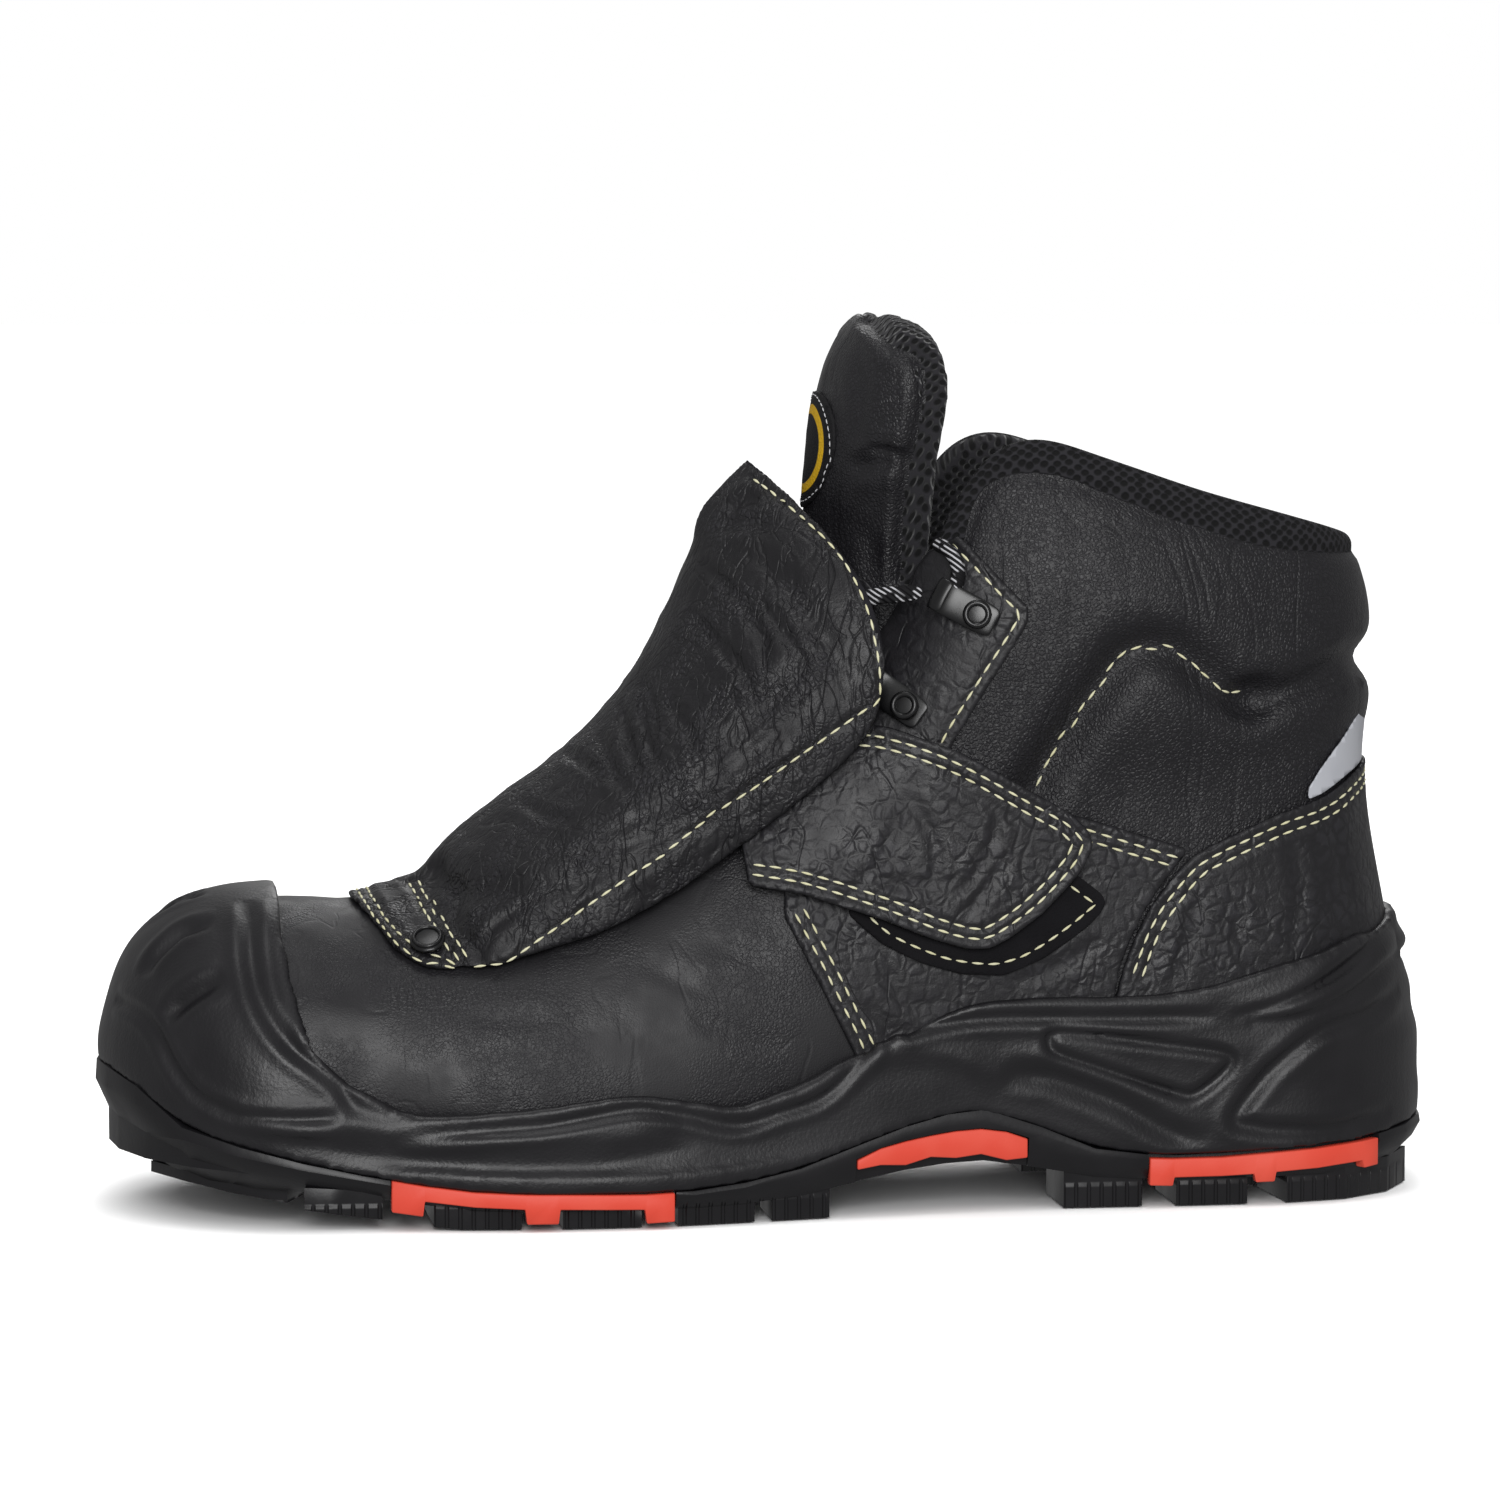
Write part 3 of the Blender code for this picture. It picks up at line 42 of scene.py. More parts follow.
# The camera of the photograph; its pixels also place the seams and creases.
view = {
    "place": (-294.27, -1311.11, 218.0),  # millimetres
    "aim": (-110.0, 0.0, 104.0),
    "focal": 5648.0,  # pixels, on a square frame
    "frame": 1500.0,
    "sensor": 36.0,
}


def buildCamera():
    data = bpy.data.cameras.new("studio_camera")
    data.lens = view["focal"] / view["frame"] * view["sensor"]
    data.sensor_width = view["sensor"]
    data.clip_start, data.clip_end = 0.05, 20.0
    holder = bpy.data.objects.new("studio_camera", data)
    bpy.context.scene.collection.objects.link(holder)
    place, aim = Vector(view["place"]) * mm, Vector(view["aim"]) * mm
    holder.location = place
    holder.rotation_euler = (aim - place).to_track_quat("-Z", "Y").to_euler()
    bpy.context.scene.camera = holder
    bpy.context.view_layer.update()
    return holder


camera = buildCamera()
print("camera in place")


def selectOnly(piece=None):
    bpy.ops.object.select_all(action="DESELECT")
    if piece:
        piece.select_set(True)
        bpy.context.view_layer.objects.active = piece


def change(piece, kind, **settings):
    selectOnly(piece)
    modifier = piece.modifiers.new(kind.lower(), kind)
    for key, value in settings.items():
        setattr(modifier, key, value)
    bpy.ops.object.modifier_apply(modifier=modifier.name)


def subdivide(piece, levels, kind="CATMULL_CLARK"):
    change(piece, "SUBSURF", subdivision_type=kind, levels=levels, render_levels=levels)


def bevel(piece, width, segments=2):
    change(piece, "BEVEL", width=width * mm, segments=segments, limit_method="ANGLE",
           angle_limit=math.radians(40))


def addPiece(name, data):
    piece = bpy.data.objects.new(name, data)
    bpy.context.scene.collection.objects.link(piece)
    selectOnly(piece)
    return piece


def copyNode(node, name):
    piece = addPiece(name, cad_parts[node].data.copy())
    piece.data.materials.clear()
    bpy.ops.object.mode_set(mode="EDIT")
    bpy.ops.mesh.select_all(action="SELECT")
    bpy.ops.mesh.remove_doubles(threshold=1e-5)
    bpy.ops.mesh.tris_convert_to_quads(face_threshold=math.radians(60), shape_threshold=math.radians(80))
    bpy.ops.object.mode_set(mode="OBJECT")
    return piece


def discard(piece):
    bpy.data.objects.remove(piece)


def read(items, name):
    flat = np.empty(len(items) * 3)
    items.foreach_get(name, flat)
    return flat.reshape(-1, 3)


def pointsOf(piece):
    return read(piece.data.vertices, "co") / mm


def putPoints(piece, points):
    piece.data.vertices.foreach_set("co", (points * mm).ravel())
    piece.data.update()


def normalsOf(piece):
    return read(piece.data.vertex_normals, "vector")


def outwards(points):
    # Away from the middle of the boot, in plan.
    out = np.zeros_like(points)
    toe, heel = points[:, 0] < -205.0, points[:, 0] > 8.0
    side = ~(toe | heel)
    out[side, 1] = np.sign(points[side, 1])
    out[toe, :2] = points[toe, :2] - (-205.0, 3.0)
    out[heel, :2] = points[heel, :2] - (8.0, 0.0)
    return out / np.maximum(np.linalg.norm(out, axis=1, keepdims=True), 1e-6)


def facesOf(piece):
    # Middles and normals of the faces.
    return read(piece.data.polygons, "center") / mm, read(piece.data.polygons, "normal")


def deleteFaces(piece, chosen):
    selectOnly(piece)
    for part in (piece.data.vertices, piece.data.edges):
        part.foreach_set("select", np.zeros(len(part), bool))
    piece.data.polygons.foreach_set("select", chosen)
    bpy.ops.object.mode_set(mode="EDIT")
    bpy.ops.mesh.select_mode(type="FACE")
    bpy.ops.mesh.delete(type="FACE")
    bpy.ops.object.mode_set(mode="OBJECT")


def creaseSharp(piece, angle):
    selectOnly(piece)
    bpy.ops.object.mode_set(mode="EDIT")
    bpy.ops.mesh.select_mode(type="EDGE")
    bpy.ops.mesh.select_all(action="DESELECT")
    bpy.ops.mesh.edges_select_sharp(sharpness=math.radians(angle))
    bpy.ops.transform.edge_crease(value=1.0)
    bpy.ops.object.mode_set(mode="OBJECT")


def smoothShade(piece, angle=60.0):
    selectOnly(piece)
    bpy.ops.object.shade_smooth_by_angle(angle=math.radians(angle))


def remade(piece, voxel, soften):
    change(piece, "REMESH", mode="VOXEL", voxel_size=voxel * mm)
    change(piece, "SMOOTH", factor=0.5, iterations=soften)
    smoothShade(piece)


def undulate(piece, size, height):
    # Slow, uneven swells, as in any real hide.
    clouds = bpy.data.textures.new(piece.name + "_swell", "CLOUDS")
    clouds.noise_scale, clouds.noise_depth = size * mm, 2
    change(piece, "DISPLACE", texture=clouds, strength=height * mm, mid_level=0.5, texture_coords="LOCAL")


def plump(node, name, look):
    # A node's rounded, remeshed copy, with its sharp edges kept.
    piece = copyNode(node, name)
    creaseSharp(piece, look["crease"])
    subdivide(piece, 2)
    if "thicker" in look:
        change(piece, "DISPLACE", strength=look["thicker"] * mm, mid_level=0.0)
    remade(piece, look["voxel"], look["soften"])
    return piece


# Lines are short lists of points; rounded() runs a soft curve through them.
def rounded(line, step=1.0):
    line = np.array(line, float)
    out = []
    for a in range(len(line) - 1):
        b = a + 1
        before = line[a - 1] if a > 0 else 2 * line[a] - line[b]
        after = line[b + 1] if b < len(line) - 1 else 2 * line[b] - line[a]
        pieces = max(1, int(np.linalg.norm(line[b] - line[a]) / step))
        for k in range(pieces):
            t = k / pieces
            out.append(0.5 * (2 * line[a] + (line[b] - before) * t
                              + (2 * before - 5 * line[a] + 4 * line[b] - after) * t * t
                              + (3 * line[a] - before - 3 * line[b] + after) * t ** 3))
    out.append(line[-1])
    return np.array(out)


def lengthsOf(line):
    return np.concatenate([[0], np.cumsum(np.linalg.norm(np.diff(line, axis=0), axis=1))])


def along(line, at):
    # The spots of a line at some of its lengths.
    lengths = lengthsOf(line)
    return np.stack([np.interp(at, lengths, column) for column in line.T], axis=1)


def evenly(line, step):
    total = lengthsOf(line)[-1]
    return along(line, np.linspace(0, total, max(2, int(total / step) + 1)))


def treeOf(piece):
    bpy.context.view_layer.update()
    return BVHTree.FromObject(piece, bpy.context.evaluated_depsgraph_get())


def hits(rays, tree):
    found = [tree.ray_cast(start, way)[0] for start, way in rays]
    return np.array([np.array(spot) / mm for spot in found if spot])


def onPhoto(pixels, tree):
    # Pixels of the photograph, cast from the camera on to a piece.
    turn, place = camera.matrix_world.to_3x3(), camera.matrix_world.translation
    middle, focal = view["frame"] / 2, view["focal"]
    ways = [turn @ Vector(((x - middle) / focal, (middle - y) / focal, -1.0)) for x, y in rounded(pixels, 4.0)]
    return hits([(place, way.normalized()) for way in ways], tree)


def fromSide(line, tree, side=-1):
    # Side-view (x, z) spots, or the spots of a seam on the other side.
    return hits([(Vector((x, side * 200.0, z)) * mm, Vector((0.0, -side, 0.0))) for x, z in line], tree)


def bothSides(lines, tree):
    lines = [onPhoto(line, tree) for line in lines]
    return lines + [fromSide(line[:, [0, 2]], tree, 1) for line in lines if len(line)]


def cast(table, piece):
    # The lines of a table of grooves, placed on both sides of a piece.
    tree = treeOf(piece)
    return {name: bothSides(lines, tree) for name, (*cut, lines) in table.items()}


def behindHeel(lateral, medial, tree):
    # Joins the ends of two lines round the back of the heel.
    turn = np.linspace(-1.0, 1.0, 33)[:, None]
    middle, half = (lateral[-1] + medial[-1]) / 2, (medial[-1] - lateral[-1]) / 2
    arc = middle + half * turn + np.array([10.0, 0.0, 0.0]) * (1 - turn ** 2)
    arc = np.array([np.array(tree.find_nearest(Vector(spot) * mm)[0]) / mm for spot in arc])
    for k in range(3):
        arc[1:-1] = (arc[:-2] + arc[1:-1] + arc[2:]) / 3
    return arc


def nearLine(points, line, reach):
    gap = np.full(len(points), 1e6)
    share = np.zeros(len(points))
    lengths = lengthsOf(line)
    close = np.all((points > line.min(0) - reach) & (points < line.max(0) + reach), axis=1)
    chosen = points[close]
    best, where = gap[close], share[close]
    for k, (start, end) in enumerate(zip(line, line[1:])):
        ahead = end - start
        t = np.clip(((chosen - start) @ ahead) / max(ahead @ ahead, 1e-9), 0, 1)
        found = np.linalg.norm(chosen - start - t[:, None] * ahead, axis=1)
        better = found < best
        best[better] = found[better]
        where[better] = (lengths[k] + t * (lengths[k + 1] - lengths[k]))[better] / lengths[-1]
    gap[close], share[close] = best, where
    return gap, share


def onTheOutside(points, normals):
    facing = np.sum(normals * (outwards(points) + (0, 0, 0.5)), axis=1)
    return np.clip(facing * 3, 0, 1)


def carve(piece, lines, depth, width, lip=0.0, fade=0.0, outerOnly=True):
    # Troughs along lines, or ridges where depth is negative; lip raises their shoulders.
    points, normals = pointsOf(piece), normalsOf(piece)
    move = np.zeros(len(points))
    for line in lines:
        if len(line) < 2:
            continue
        gap, share = nearLine(points, evenly(line, max(0.8, width * 0.5)), 3.5 * width)
        shape = np.exp(-(gap / width) ** 2) * depth
        shape -= lip * np.exp(-((gap - 2.0 * width) / (0.9 * width)) ** 2)
        if fade:
            shape = shape * np.clip(np.minimum(share, 1 - share) / fade, 0, 1) ** 0.7
        move = np.where(np.abs(shape) > np.abs(move), shape, move)
    if outerOnly:
        move = move * onTheOutside(points, normals)
    putPoints(piece, points - normals * move[:, None])


def swell(piece, spots):
    points, normals = pointsOf(piece), normalsOf(piece)
    move = np.zeros(len(points))
    for middle, size, height in spots:
        reach = np.sum(((points - middle) / size) ** 2, axis=1)
        move += height * np.exp(-reach)
    putPoints(piece, points + normals * (move * onTheOutside(points, normals))[:, None])


def carveAll(piece, table, places, outerOnly=True):
    # A groove is its depth, width, lip and fade, and then its lines.
    for name, (depth, width, lip, fade, lines) in table.items():
        carve(piece, places[name], depth, width, lip, fade, outerOnly)


# Materials. Colours are sRGB hex values, patterns are in millimetres.
def linear(code):
    values = [int(code[k:k + 2], 16) / 255 for k in (1, 3, 5)]
    return (*[v / 12.92 if v <= 0.04045 else ((v + 0.055) / 1.055) ** 2.4 for v in values], 1.0)


def plug(node, inputs):
    # Links a node's first output or a socket, and sets anything else; a list fills the sockets in order.
    for key, value in inputs.items() if isinstance(inputs, dict) else enumerate(inputs):
        if isinstance(value, bpy.types.Node):
            value = value.outputs[0]
        if isinstance(value, bpy.types.NodeSocket):
            node.id_data.links.new(value, node.inputs[key])
        else:
            node.inputs[key].default_value = value


def addNode(tree, kind, inputs=(), **settings):
    node = tree.nodes.new("ShaderNode" + kind)
    for key, value in settings.items():
        setattr(node, key, value)
    plug(node, inputs)
    return node


def newMaterial(name, colour, roughness, gloss, **sockets):
    made = bpy.data.materials.new(name)
    made.use_nodes = True
    made.diffuse_color = linear(colour)
    shader = made.node_tree.nodes["Principled BSDF"]
    plug(shader, {"Base Color": linear(colour), "Roughness": roughness, "Specular IOR Level": gloss})
    plug(shader, {key.replace("_", " "): value for key, value in sockets.items()})
    return made, made.node_tree, shader


# A Mix of colours has its colours in sockets 6 and 7 and its result in output 2.
ofColours = {"data_type": "RGBA"}
softStep = {"interpolation_type": "SMOOTHSTEP"}


def pebbles(tree, coords, size, wander=0.9):
    # Rounded, uneven cells with soft valleys between them.
    noise = addNode(tree, "TexNoise", {"Vector": coords, "Scale": 1 / (size * 1.3 * mm)})
    shift = addNode(tree, "VectorMath", [noise.outputs["Color"], (0.5, 0.5, 0.5)], operation="SUBTRACT")
    shift = addNode(tree, "VectorMath", {0: shift, "Scale": size * wander * mm}, operation="SCALE")
    place = addNode(tree, "VectorMath", [coords, shift], operation="ADD")
    cells = addNode(tree, "TexVoronoi", {"Vector": place, "Scale": 1 / (size * mm)}, feature="DISTANCE_TO_EDGE")
    return addNode(tree, "MapRange", [cells, 0.0, 0.3], **softStep)


def leatherHeight(tree, coords, look):
    fine = addNode(tree, "TexNoise", {"Vector": coords, "Scale": 1 / (look["fine"] * mm), "Detail": 3.0})
    patches = addNode(tree, "TexNoise", {"Vector": coords, "Scale": 1 / (look["patch"] * mm)})
    strength = addNode(tree, "MapRange", [patches, 0.35, 0.65, look["patchLow"], 1.0], **softStep)
    relief = addNode(tree, "Math", [pebbles(tree, coords, look["grain"]), strength], operation="MULTIPLY")
    total = addNode(tree, "Math", [fine, look["fineShare"], relief], operation="MULTIPLY_ADD")
    for size, share, turn, stretch in look["folds"]:
        turned = addNode(tree, "Mapping", {"Vector": coords, "Rotation": turn, "Scale": stretch})
        noise = addNode(tree, "TexNoise", {"Vector": turned, "Scale": 1 / (size * mm), "Distortion": 0.5})
        # A fold line lies where the noise crosses its middle value.
        away = addNode(tree, "Math", [noise, 0.5], operation="SUBTRACT")
        away = addNode(tree, "Math", [away], operation="ABSOLUTE")
        line = addNode(tree, "MapRange", [away, 0.0, 0.035], **softStep)
        total = addNode(tree, "Math", [line, share, total], operation="MULTIPLY_ADD")
    return total, relief


def leather(name, look):
    rough, coat = look["roughness"], look["coat"]
    made, tree, shader = newMaterial(name, look["colour"], rough, 0.42, Coat_Weight=coat, Coat_Roughness=0.5)
    coords = addNode(tree, "TexCoord").outputs["Object"]
    height, relief = leatherHeight(tree, coords, look)
    wear = addNode(tree, "TexNoise", {"Vector": coords, "Scale": 1 / (9.0 * mm), "Detail": 3.0})
    rubbed = addNode(tree, "MapRange", [wear, 0.45, 0.75, 0.0, 0.6], **softStep)
    dusty = addNode(tree, "Mix", {0: rubbed, 6: linear(look["colour"]), 7: linear(look["worn"])}, **ofColours)
    # Painted shade: the valleys between the pebbles take the darker "crease" colour, as do the patches where
    # the grain fades.
    tint = addNode(tree, "Mix", {0: relief, 6: linear(look["crease"]), 7: dusty.outputs[2]}, **ofColours)
    plug(shader, {
        "Normal": addNode(tree, "Bump", {"Height": height, "Distance": look["depth"] * mm}),
        "Roughness": addNode(tree, "MapRange", [wear, 0.3, 0.7, rough - 0.07, rough + 0.07], **softStep),
        "Base Color": tint.outputs[2],
    })
    return made


# Each look's "crease" colour is painted shade in the valleys between the pebbles; it also darkens the patches
# where the grain fades.
looks = {
    # Full-grain tumbled cowhide: pebbled, with a soft sheen on the pebbles.
    "tumbled_cowhide": {
        "colour": "#28272b", "crease": "#1e1d20", "worn": "#302f33", "roughness": 0.46, "coat": 0.02,
        "grain": 3.3, "patch": 16.0, "patchLow": 0.25, "fine": 0.5, "fineShare": 0.35, "depth": 0.2,
        "folds": [(14.0, 0.6, (0.2, 0.5, 0.3), (1.0, 1.0, 0.7))],
    },
    # The same hide drawn over padding: flatter grain, and fine creases along the pull.
    "pulled_cowhide": {
        "colour": "#28272b", "crease": "#1a191c", "worn": "#302f34", "roughness": 0.45, "coat": 0.03,
        "grain": 1.5, "patch": 14.0, "patchLow": 0.0, "fine": 0.45, "fineShare": 0.45, "depth": 0.22,
        "folds": [(9.0, 1.0, (0.0, 0.85, 0.0), (1.0, 1.0, 0.28)), (6.0, 0.7, (0.0, -0.5, 0.2), (1.0, 1.0, 0.4)),
                  (15.0, 0.9, (0.3, 0.7, 0.0), (1.0, 1.0, 0.5))],
    },
    # Vamp: corrected cowhide with a waxed, almost plain face.
    "waxed_cowhide": {
        "colour": "#222125", "crease": "#1e1d20", "worn": "#28272b", "roughness": 0.47, "coat": 0.03,
        "grain": 0.9, "patch": 25.0, "patchLow": 0.0, "fine": 0.35, "fineShare": 0.6, "depth": 0.07,
        "folds": [(16.0, 0.7, (0.2, -0.4, 0.3), (1.0, 1.0, 0.6))],
    },
    # Collar and tongue: coated microfibre with a fine embossed grain and upright wrinkles.
    "embossed_microfibre": {
        "colour": "#252428", "crease": "#1c1b1e", "worn": "#28272b", "roughness": 0.42, "coat": 0.04,
        "grain": 1.0, "patch": 30.0, "patchLow": 0.75, "fine": 0.4, "fineShare": 0.4, "depth": 0.12,
        "folds": [(15.0, 1.1, (0.0, -0.12, 0.0), (1.0, 1.0, 0.12))],
    },
}
tumbled, pulled, waxed, microfibre = [leather(name, look) for name, look in looks.items()]

# Knitted polyester spacer mesh: holes about 2.2 mm apart between matt threads, painted near-black as painted
# shade in the holes.
knit = {"pitch": 2.2, "thread": "#2b2a2e", "shaded_hole": "#060607", "depth": 0.6}


def knitPattern(tree):
    flat = addNode(tree, "Attribute", attribute_name="cloth").outputs["Vector"]
    turned = addNode(tree, "Mapping", {"Vector": flat, "Rotation": (0.0, 0.0, 0.785)})
    cells = addNode(tree, "TexVoronoi", {"Vector": turned, "Scale": 1 / (knit["pitch"] * mm),
                                         "Randomness": 0.3}, voronoi_dimensions="2D")
    shaded_hole = addNode(tree, "MapRange", [cells, 0.22, 0.52], **softStep)
    # Painted shade: the holes take the near-black colour.
    tint = addNode(tree, "Mix", {0: shaded_hole, 6: linear(knit["shaded_hole"]), 7: linear(knit["thread"])}, **ofColours)
    return shaded_hole, tint.outputs[2]


def knitMaterial(name):
    made, tree, shader = newMaterial(name, knit["thread"], 0.85, 0.25, Sheen_Weight=0.25, Sheen_Roughness=0.5)
    shaded_hole, tint = knitPattern(tree)
    bump = addNode(tree, "Bump", {"Height": shaded_hole, "Distance": knit["depth"] * mm})
    plug(shader, {"Normal": bump, "Base Color": tint})
    return made


def layCloth(piece):
    # Flat coordinates over the piece: the way round the boot, and the way up and over a rim.
    points = pointsOf(piece)
    along = points[:, 0].copy()
    heel = points[:, 0] > 8.0
    along[heel] = 8.0 + 32.0 * np.arctan2(points[heel, 0] - 8.0, np.abs(points[heel, 1]) + 1e-6)
    across = points[:, 2] - np.sum(points * outwards(points), axis=1)
    layer = piece.data.attributes.new("cloth", "FLOAT_VECTOR", "POINT")
    flat = np.stack([along, across, np.zeros(len(points))], axis=1) * mm
    layer.data.foreach_set("vector", flat.ravel())


mesh = knitMaterial("spacer_mesh")


def moulded(name, colour, rough, grit, depth, gloss=0.5, coat=0.0, worn=None):
    made, tree, shader = newMaterial(name, colour, rough, gloss, Coat_Weight=coat, Coat_Roughness=0.35)
    coords = addNode(tree, "TexCoord").outputs["Object"]
    grain = addNode(tree, "TexNoise", {"Vector": coords, "Scale": 1 / (grit * mm)})
    drift = addNode(tree, "TexNoise", {"Vector": coords, "Scale": 1 / (14.0 * mm)})
    share = addNode(tree, "MapRange", [drift, 0.35, 0.7], **softStep)
    tint = addNode(tree, "Mix", {0: share, 6: linear(colour), 7: linear(worn or colour)}, **ofColours)
    plug(shader, {
        "Normal": addNode(tree, "Bump", {"Height": grain, "Distance": depth * mm}),
        "Roughness": addNode(tree, "MapRange", [drift, 0.3, 0.7, rough - 0.05, rough + 0.05], **softStep),
        "Base Color": tint.outputs[2],
    })
    return made


# Polyurethane foam from a spark-eroded mould: stippled, with a soft sheen.
foam = moulded("moulded_polyurethane", "#1b1a1d", 0.42, 0.8, 0.09, 0.45, 0.03, "#201f22")
# Nitrile rubber: smoother and a little glossier than the foam.
rubber = moulded("nitrile_rubber", "#161518", 0.42, 1.3, 0.04, 0.42, 0.03, "#1b1a1d")
coral = moulded("coral_rubber", "#fb5541", 0.5, 0.8, 0.02, 0.4, 0.0, "#ff604c")
# Waxed polyester thread, a pale cream with a hint of yellow.
thread = moulded("waxed_polyester_thread", "#fbf8d3", 0.6, 0.35, 0.08, 0.3, 0.0, "#f0ecc0")
white = moulded("white_polyester_thread", "#e9e9ec", 0.6, 0.35, 0.08, 0.3)
steel = moulded("black_painted_steel", "#0e0e10", 0.3, 1.5, 0.01, 0.5, 0.1)
film = moulded("glass_bead_film", "#d3d5dc", 0.4, 0.3, 0.02, 0.5, 0.0, "#c6c8d0")
cutEdge = moulded("raw_cut_hide", "#222125", 0.95, 0.35, 0.5, 0.2, 0.0, "#302f34")
# Hook-and-loop tape: short black nylon loops.
loopTape = moulded("nylon_loop_tape", "#141316", 0.9, 0.7, 0.5, 0.2, 0.0, "#1c1b1e")
felt = moulded("needled_felt", "#1c1b1e", 0.95, 0.5, 0.3, 0.2, 0.0, "#242327")
print("materials made")


def finishPiece(piece, material, slot, *nodes):
    piece.data.materials.clear()
    piece.data.materials.append(material)
    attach(piece, "root")
    if nodes:
        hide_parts(*nodes)
    print(piece.name, len(piece.data.polygons), "faces")
    return piece


# One stitch, copied along the seams: it stands on the leather and dips at both ends.
stitch = {"length": 2.9, "gap": 0.8, "width": 0.5, "height": 0.45}


def makeStitch():
    selectOnly()
    bpy.ops.mesh.primitive_uv_sphere_add(segments=6, ring_count=6, radius=0.5)
    piece = bpy.context.object
    points = np.array([v.co[:] for v in piece.data.vertices])[:, [2, 0, 1]]
    faces = [tuple(f.vertices) for f in piece.data.polygons]
    discard(piece)
    points[:, 1:] *= (1.0 + 0.6 * (0.5 - np.abs(points[:, :1])))
    points[:, 2] += 0.25 - 1.2 * points[:, 0] ** 2
    return points * (stitch["length"], stitch["width"], stitch["height"]), faces


stitchPoints, stitchFaces = makeStitch()


def sew(name, seams, target, material=thread, size=1.0):
    tree = treeOf(target)
    points, faces = [], []
    for seam in seams:
        if len(seam) < 2:
            continue
        seam = evenly(seam, 0.5)
        total, half = lengthsOf(seam)[-1], 0.5 * stitch["length"] * size
        count = int(total / ((stitch["length"] + stitch["gap"]) * size))
        at = total * (np.arange(count) + 0.5) / count
        for a, b in zip(along(seam, at - half), along(seam, at + half)):
            hit = tree.find_nearest(Vector((a + b) / 2) * mm)
            if hit[0] is None:
                continue
            centre, up = np.array(hit[0]) / mm, np.array(hit[1])
            ahead = (b - a) - up * np.dot(b - a, up)
            if np.linalg.norm(ahead) < 0.3:
                continue
            ahead = ahead / np.linalg.norm(ahead)
            aside = np.cross(up, ahead)
            base = len(points) * len(stitchPoints)
            points.append(centre + up * 0.02 + size * stitchPoints @ np.array([ahead, aside, up]))
            faces.extend(tuple(base + v for v in face) for face in stitchFaces)
    data = bpy.data.meshes.new(name)
    data.from_pydata((np.vstack(points) * mm).tolist(), [], faces)
    piece = addPiece(name, data)
    bpy.ops.object.shade_smooth()
    return finishPiece(piece, material, None)


# The smooth outer surface that every sewn panel follows.
def outerSkin():
    piece = copyNode("upper", "skin")
    centres, facing = facesOf(piece)
    out = outwards(centres) + (0.0, 0.0, 0.6)
    rim = (facing[:, 2] > 0.8) & (centres[:, 0] > -128.0)
    deleteFaces(piece, (np.sum(facing * out, axis=1) < 0) | rim)
    subdivide(piece, 3)
    return piece


skin = outerSkin()
print("skin", len(skin.data.polygons))


def prism(outline, low, high):
    selectOnly()
    bpy.ops.mesh.primitive_circle_add(vertices=len(outline), fill_type="NGON")
    piece = bpy.context.object
    for vertex, (x, z) in zip(piece.data.vertices, outline):
        vertex.co = (x * mm, low * mm, z * mm)
    bpy.ops.object.mode_set(mode="EDIT")
    bpy.ops.mesh.select_all(action="SELECT")
    bpy.ops.mesh.extrude_region_move(TRANSFORM_OT_translate={"value": (0.0, (high - low) * mm, 0.0)})
    bpy.ops.mesh.select_all(action="SELECT")
    bpy.ops.mesh.normals_make_consistent(inside=False)
    bpy.ops.object.mode_set(mode="OBJECT")
    return piece


def softened(outline, radius):
    # The outline with its corners rounded.
    outline = np.array(outline, float)
    ring = evenly(np.vstack([outline, outline[:1]]), 0.8)[:-1]
    reach = max(1, int(radius / 0.8))
    weights = np.hanning(2 * reach + 3)[1:-1]
    total = sum(w * np.roll(ring, k, axis=0) for k, w in zip(range(-reach, reach + 1), weights))
    return total / weights.sum()


def cutPanel(name, shape, side):
    outline = softened(shape["outline"], shape.get("round", 2.0))
    piece = addPiece(name, skin.data.copy())
    centres = facesOf(piece)[0]
    low, high = outline.min(0) - 9.0, outline.max(0) + 9.0
    away = ((centres[:, 0] < low[0]) | (centres[:, 0] > high[0])
            | (centres[:, 2] < low[1]) | (centres[:, 2] > high[1]))
    if side:
        away |= centres[:, 1] * side < -6.0
    deleteFaces(piece, away)
    change(piece, "DISPLACE", strength=shape["lift"] * mm, mid_level=0.0)
    change(piece, "SOLIDIFY", thickness=shape["thick"] * mm, offset=1.0)
    knife = prism(outline, side, 95.0 * side) if side else prism(outline, -95.0, 95.0)
    change(piece, "BOOLEAN", object=knife, operation="INTERSECT", solver="MANIFOLD")
    discard(knife)
    if shape["voxel"]:
        remade(piece, shape["voxel"], 3)
    smoothShade(piece)
    return piece


def innerLine(outline, inset, start, end):
    # A seam a little inside a panel's outline, from one corner number to another.
    outline = np.array(outline, float)
    count = len(outline)
    picks = [(start + k) % count for k in range((end - start) % count + 1)]
    turn = np.sign(sum(a[0] * b[1] - b[0] * a[1] for a, b in zip(outline, np.roll(outline, -1, axis=0))))
    run = rounded(outline[picks], 1.5)
    ahead = np.gradient(run, axis=0)
    ahead /= np.linalg.norm(ahead, axis=1, keepdims=True)
    return run + inset * turn * np.stack([-ahead[:, 1], ahead[:, 0]], axis=1)


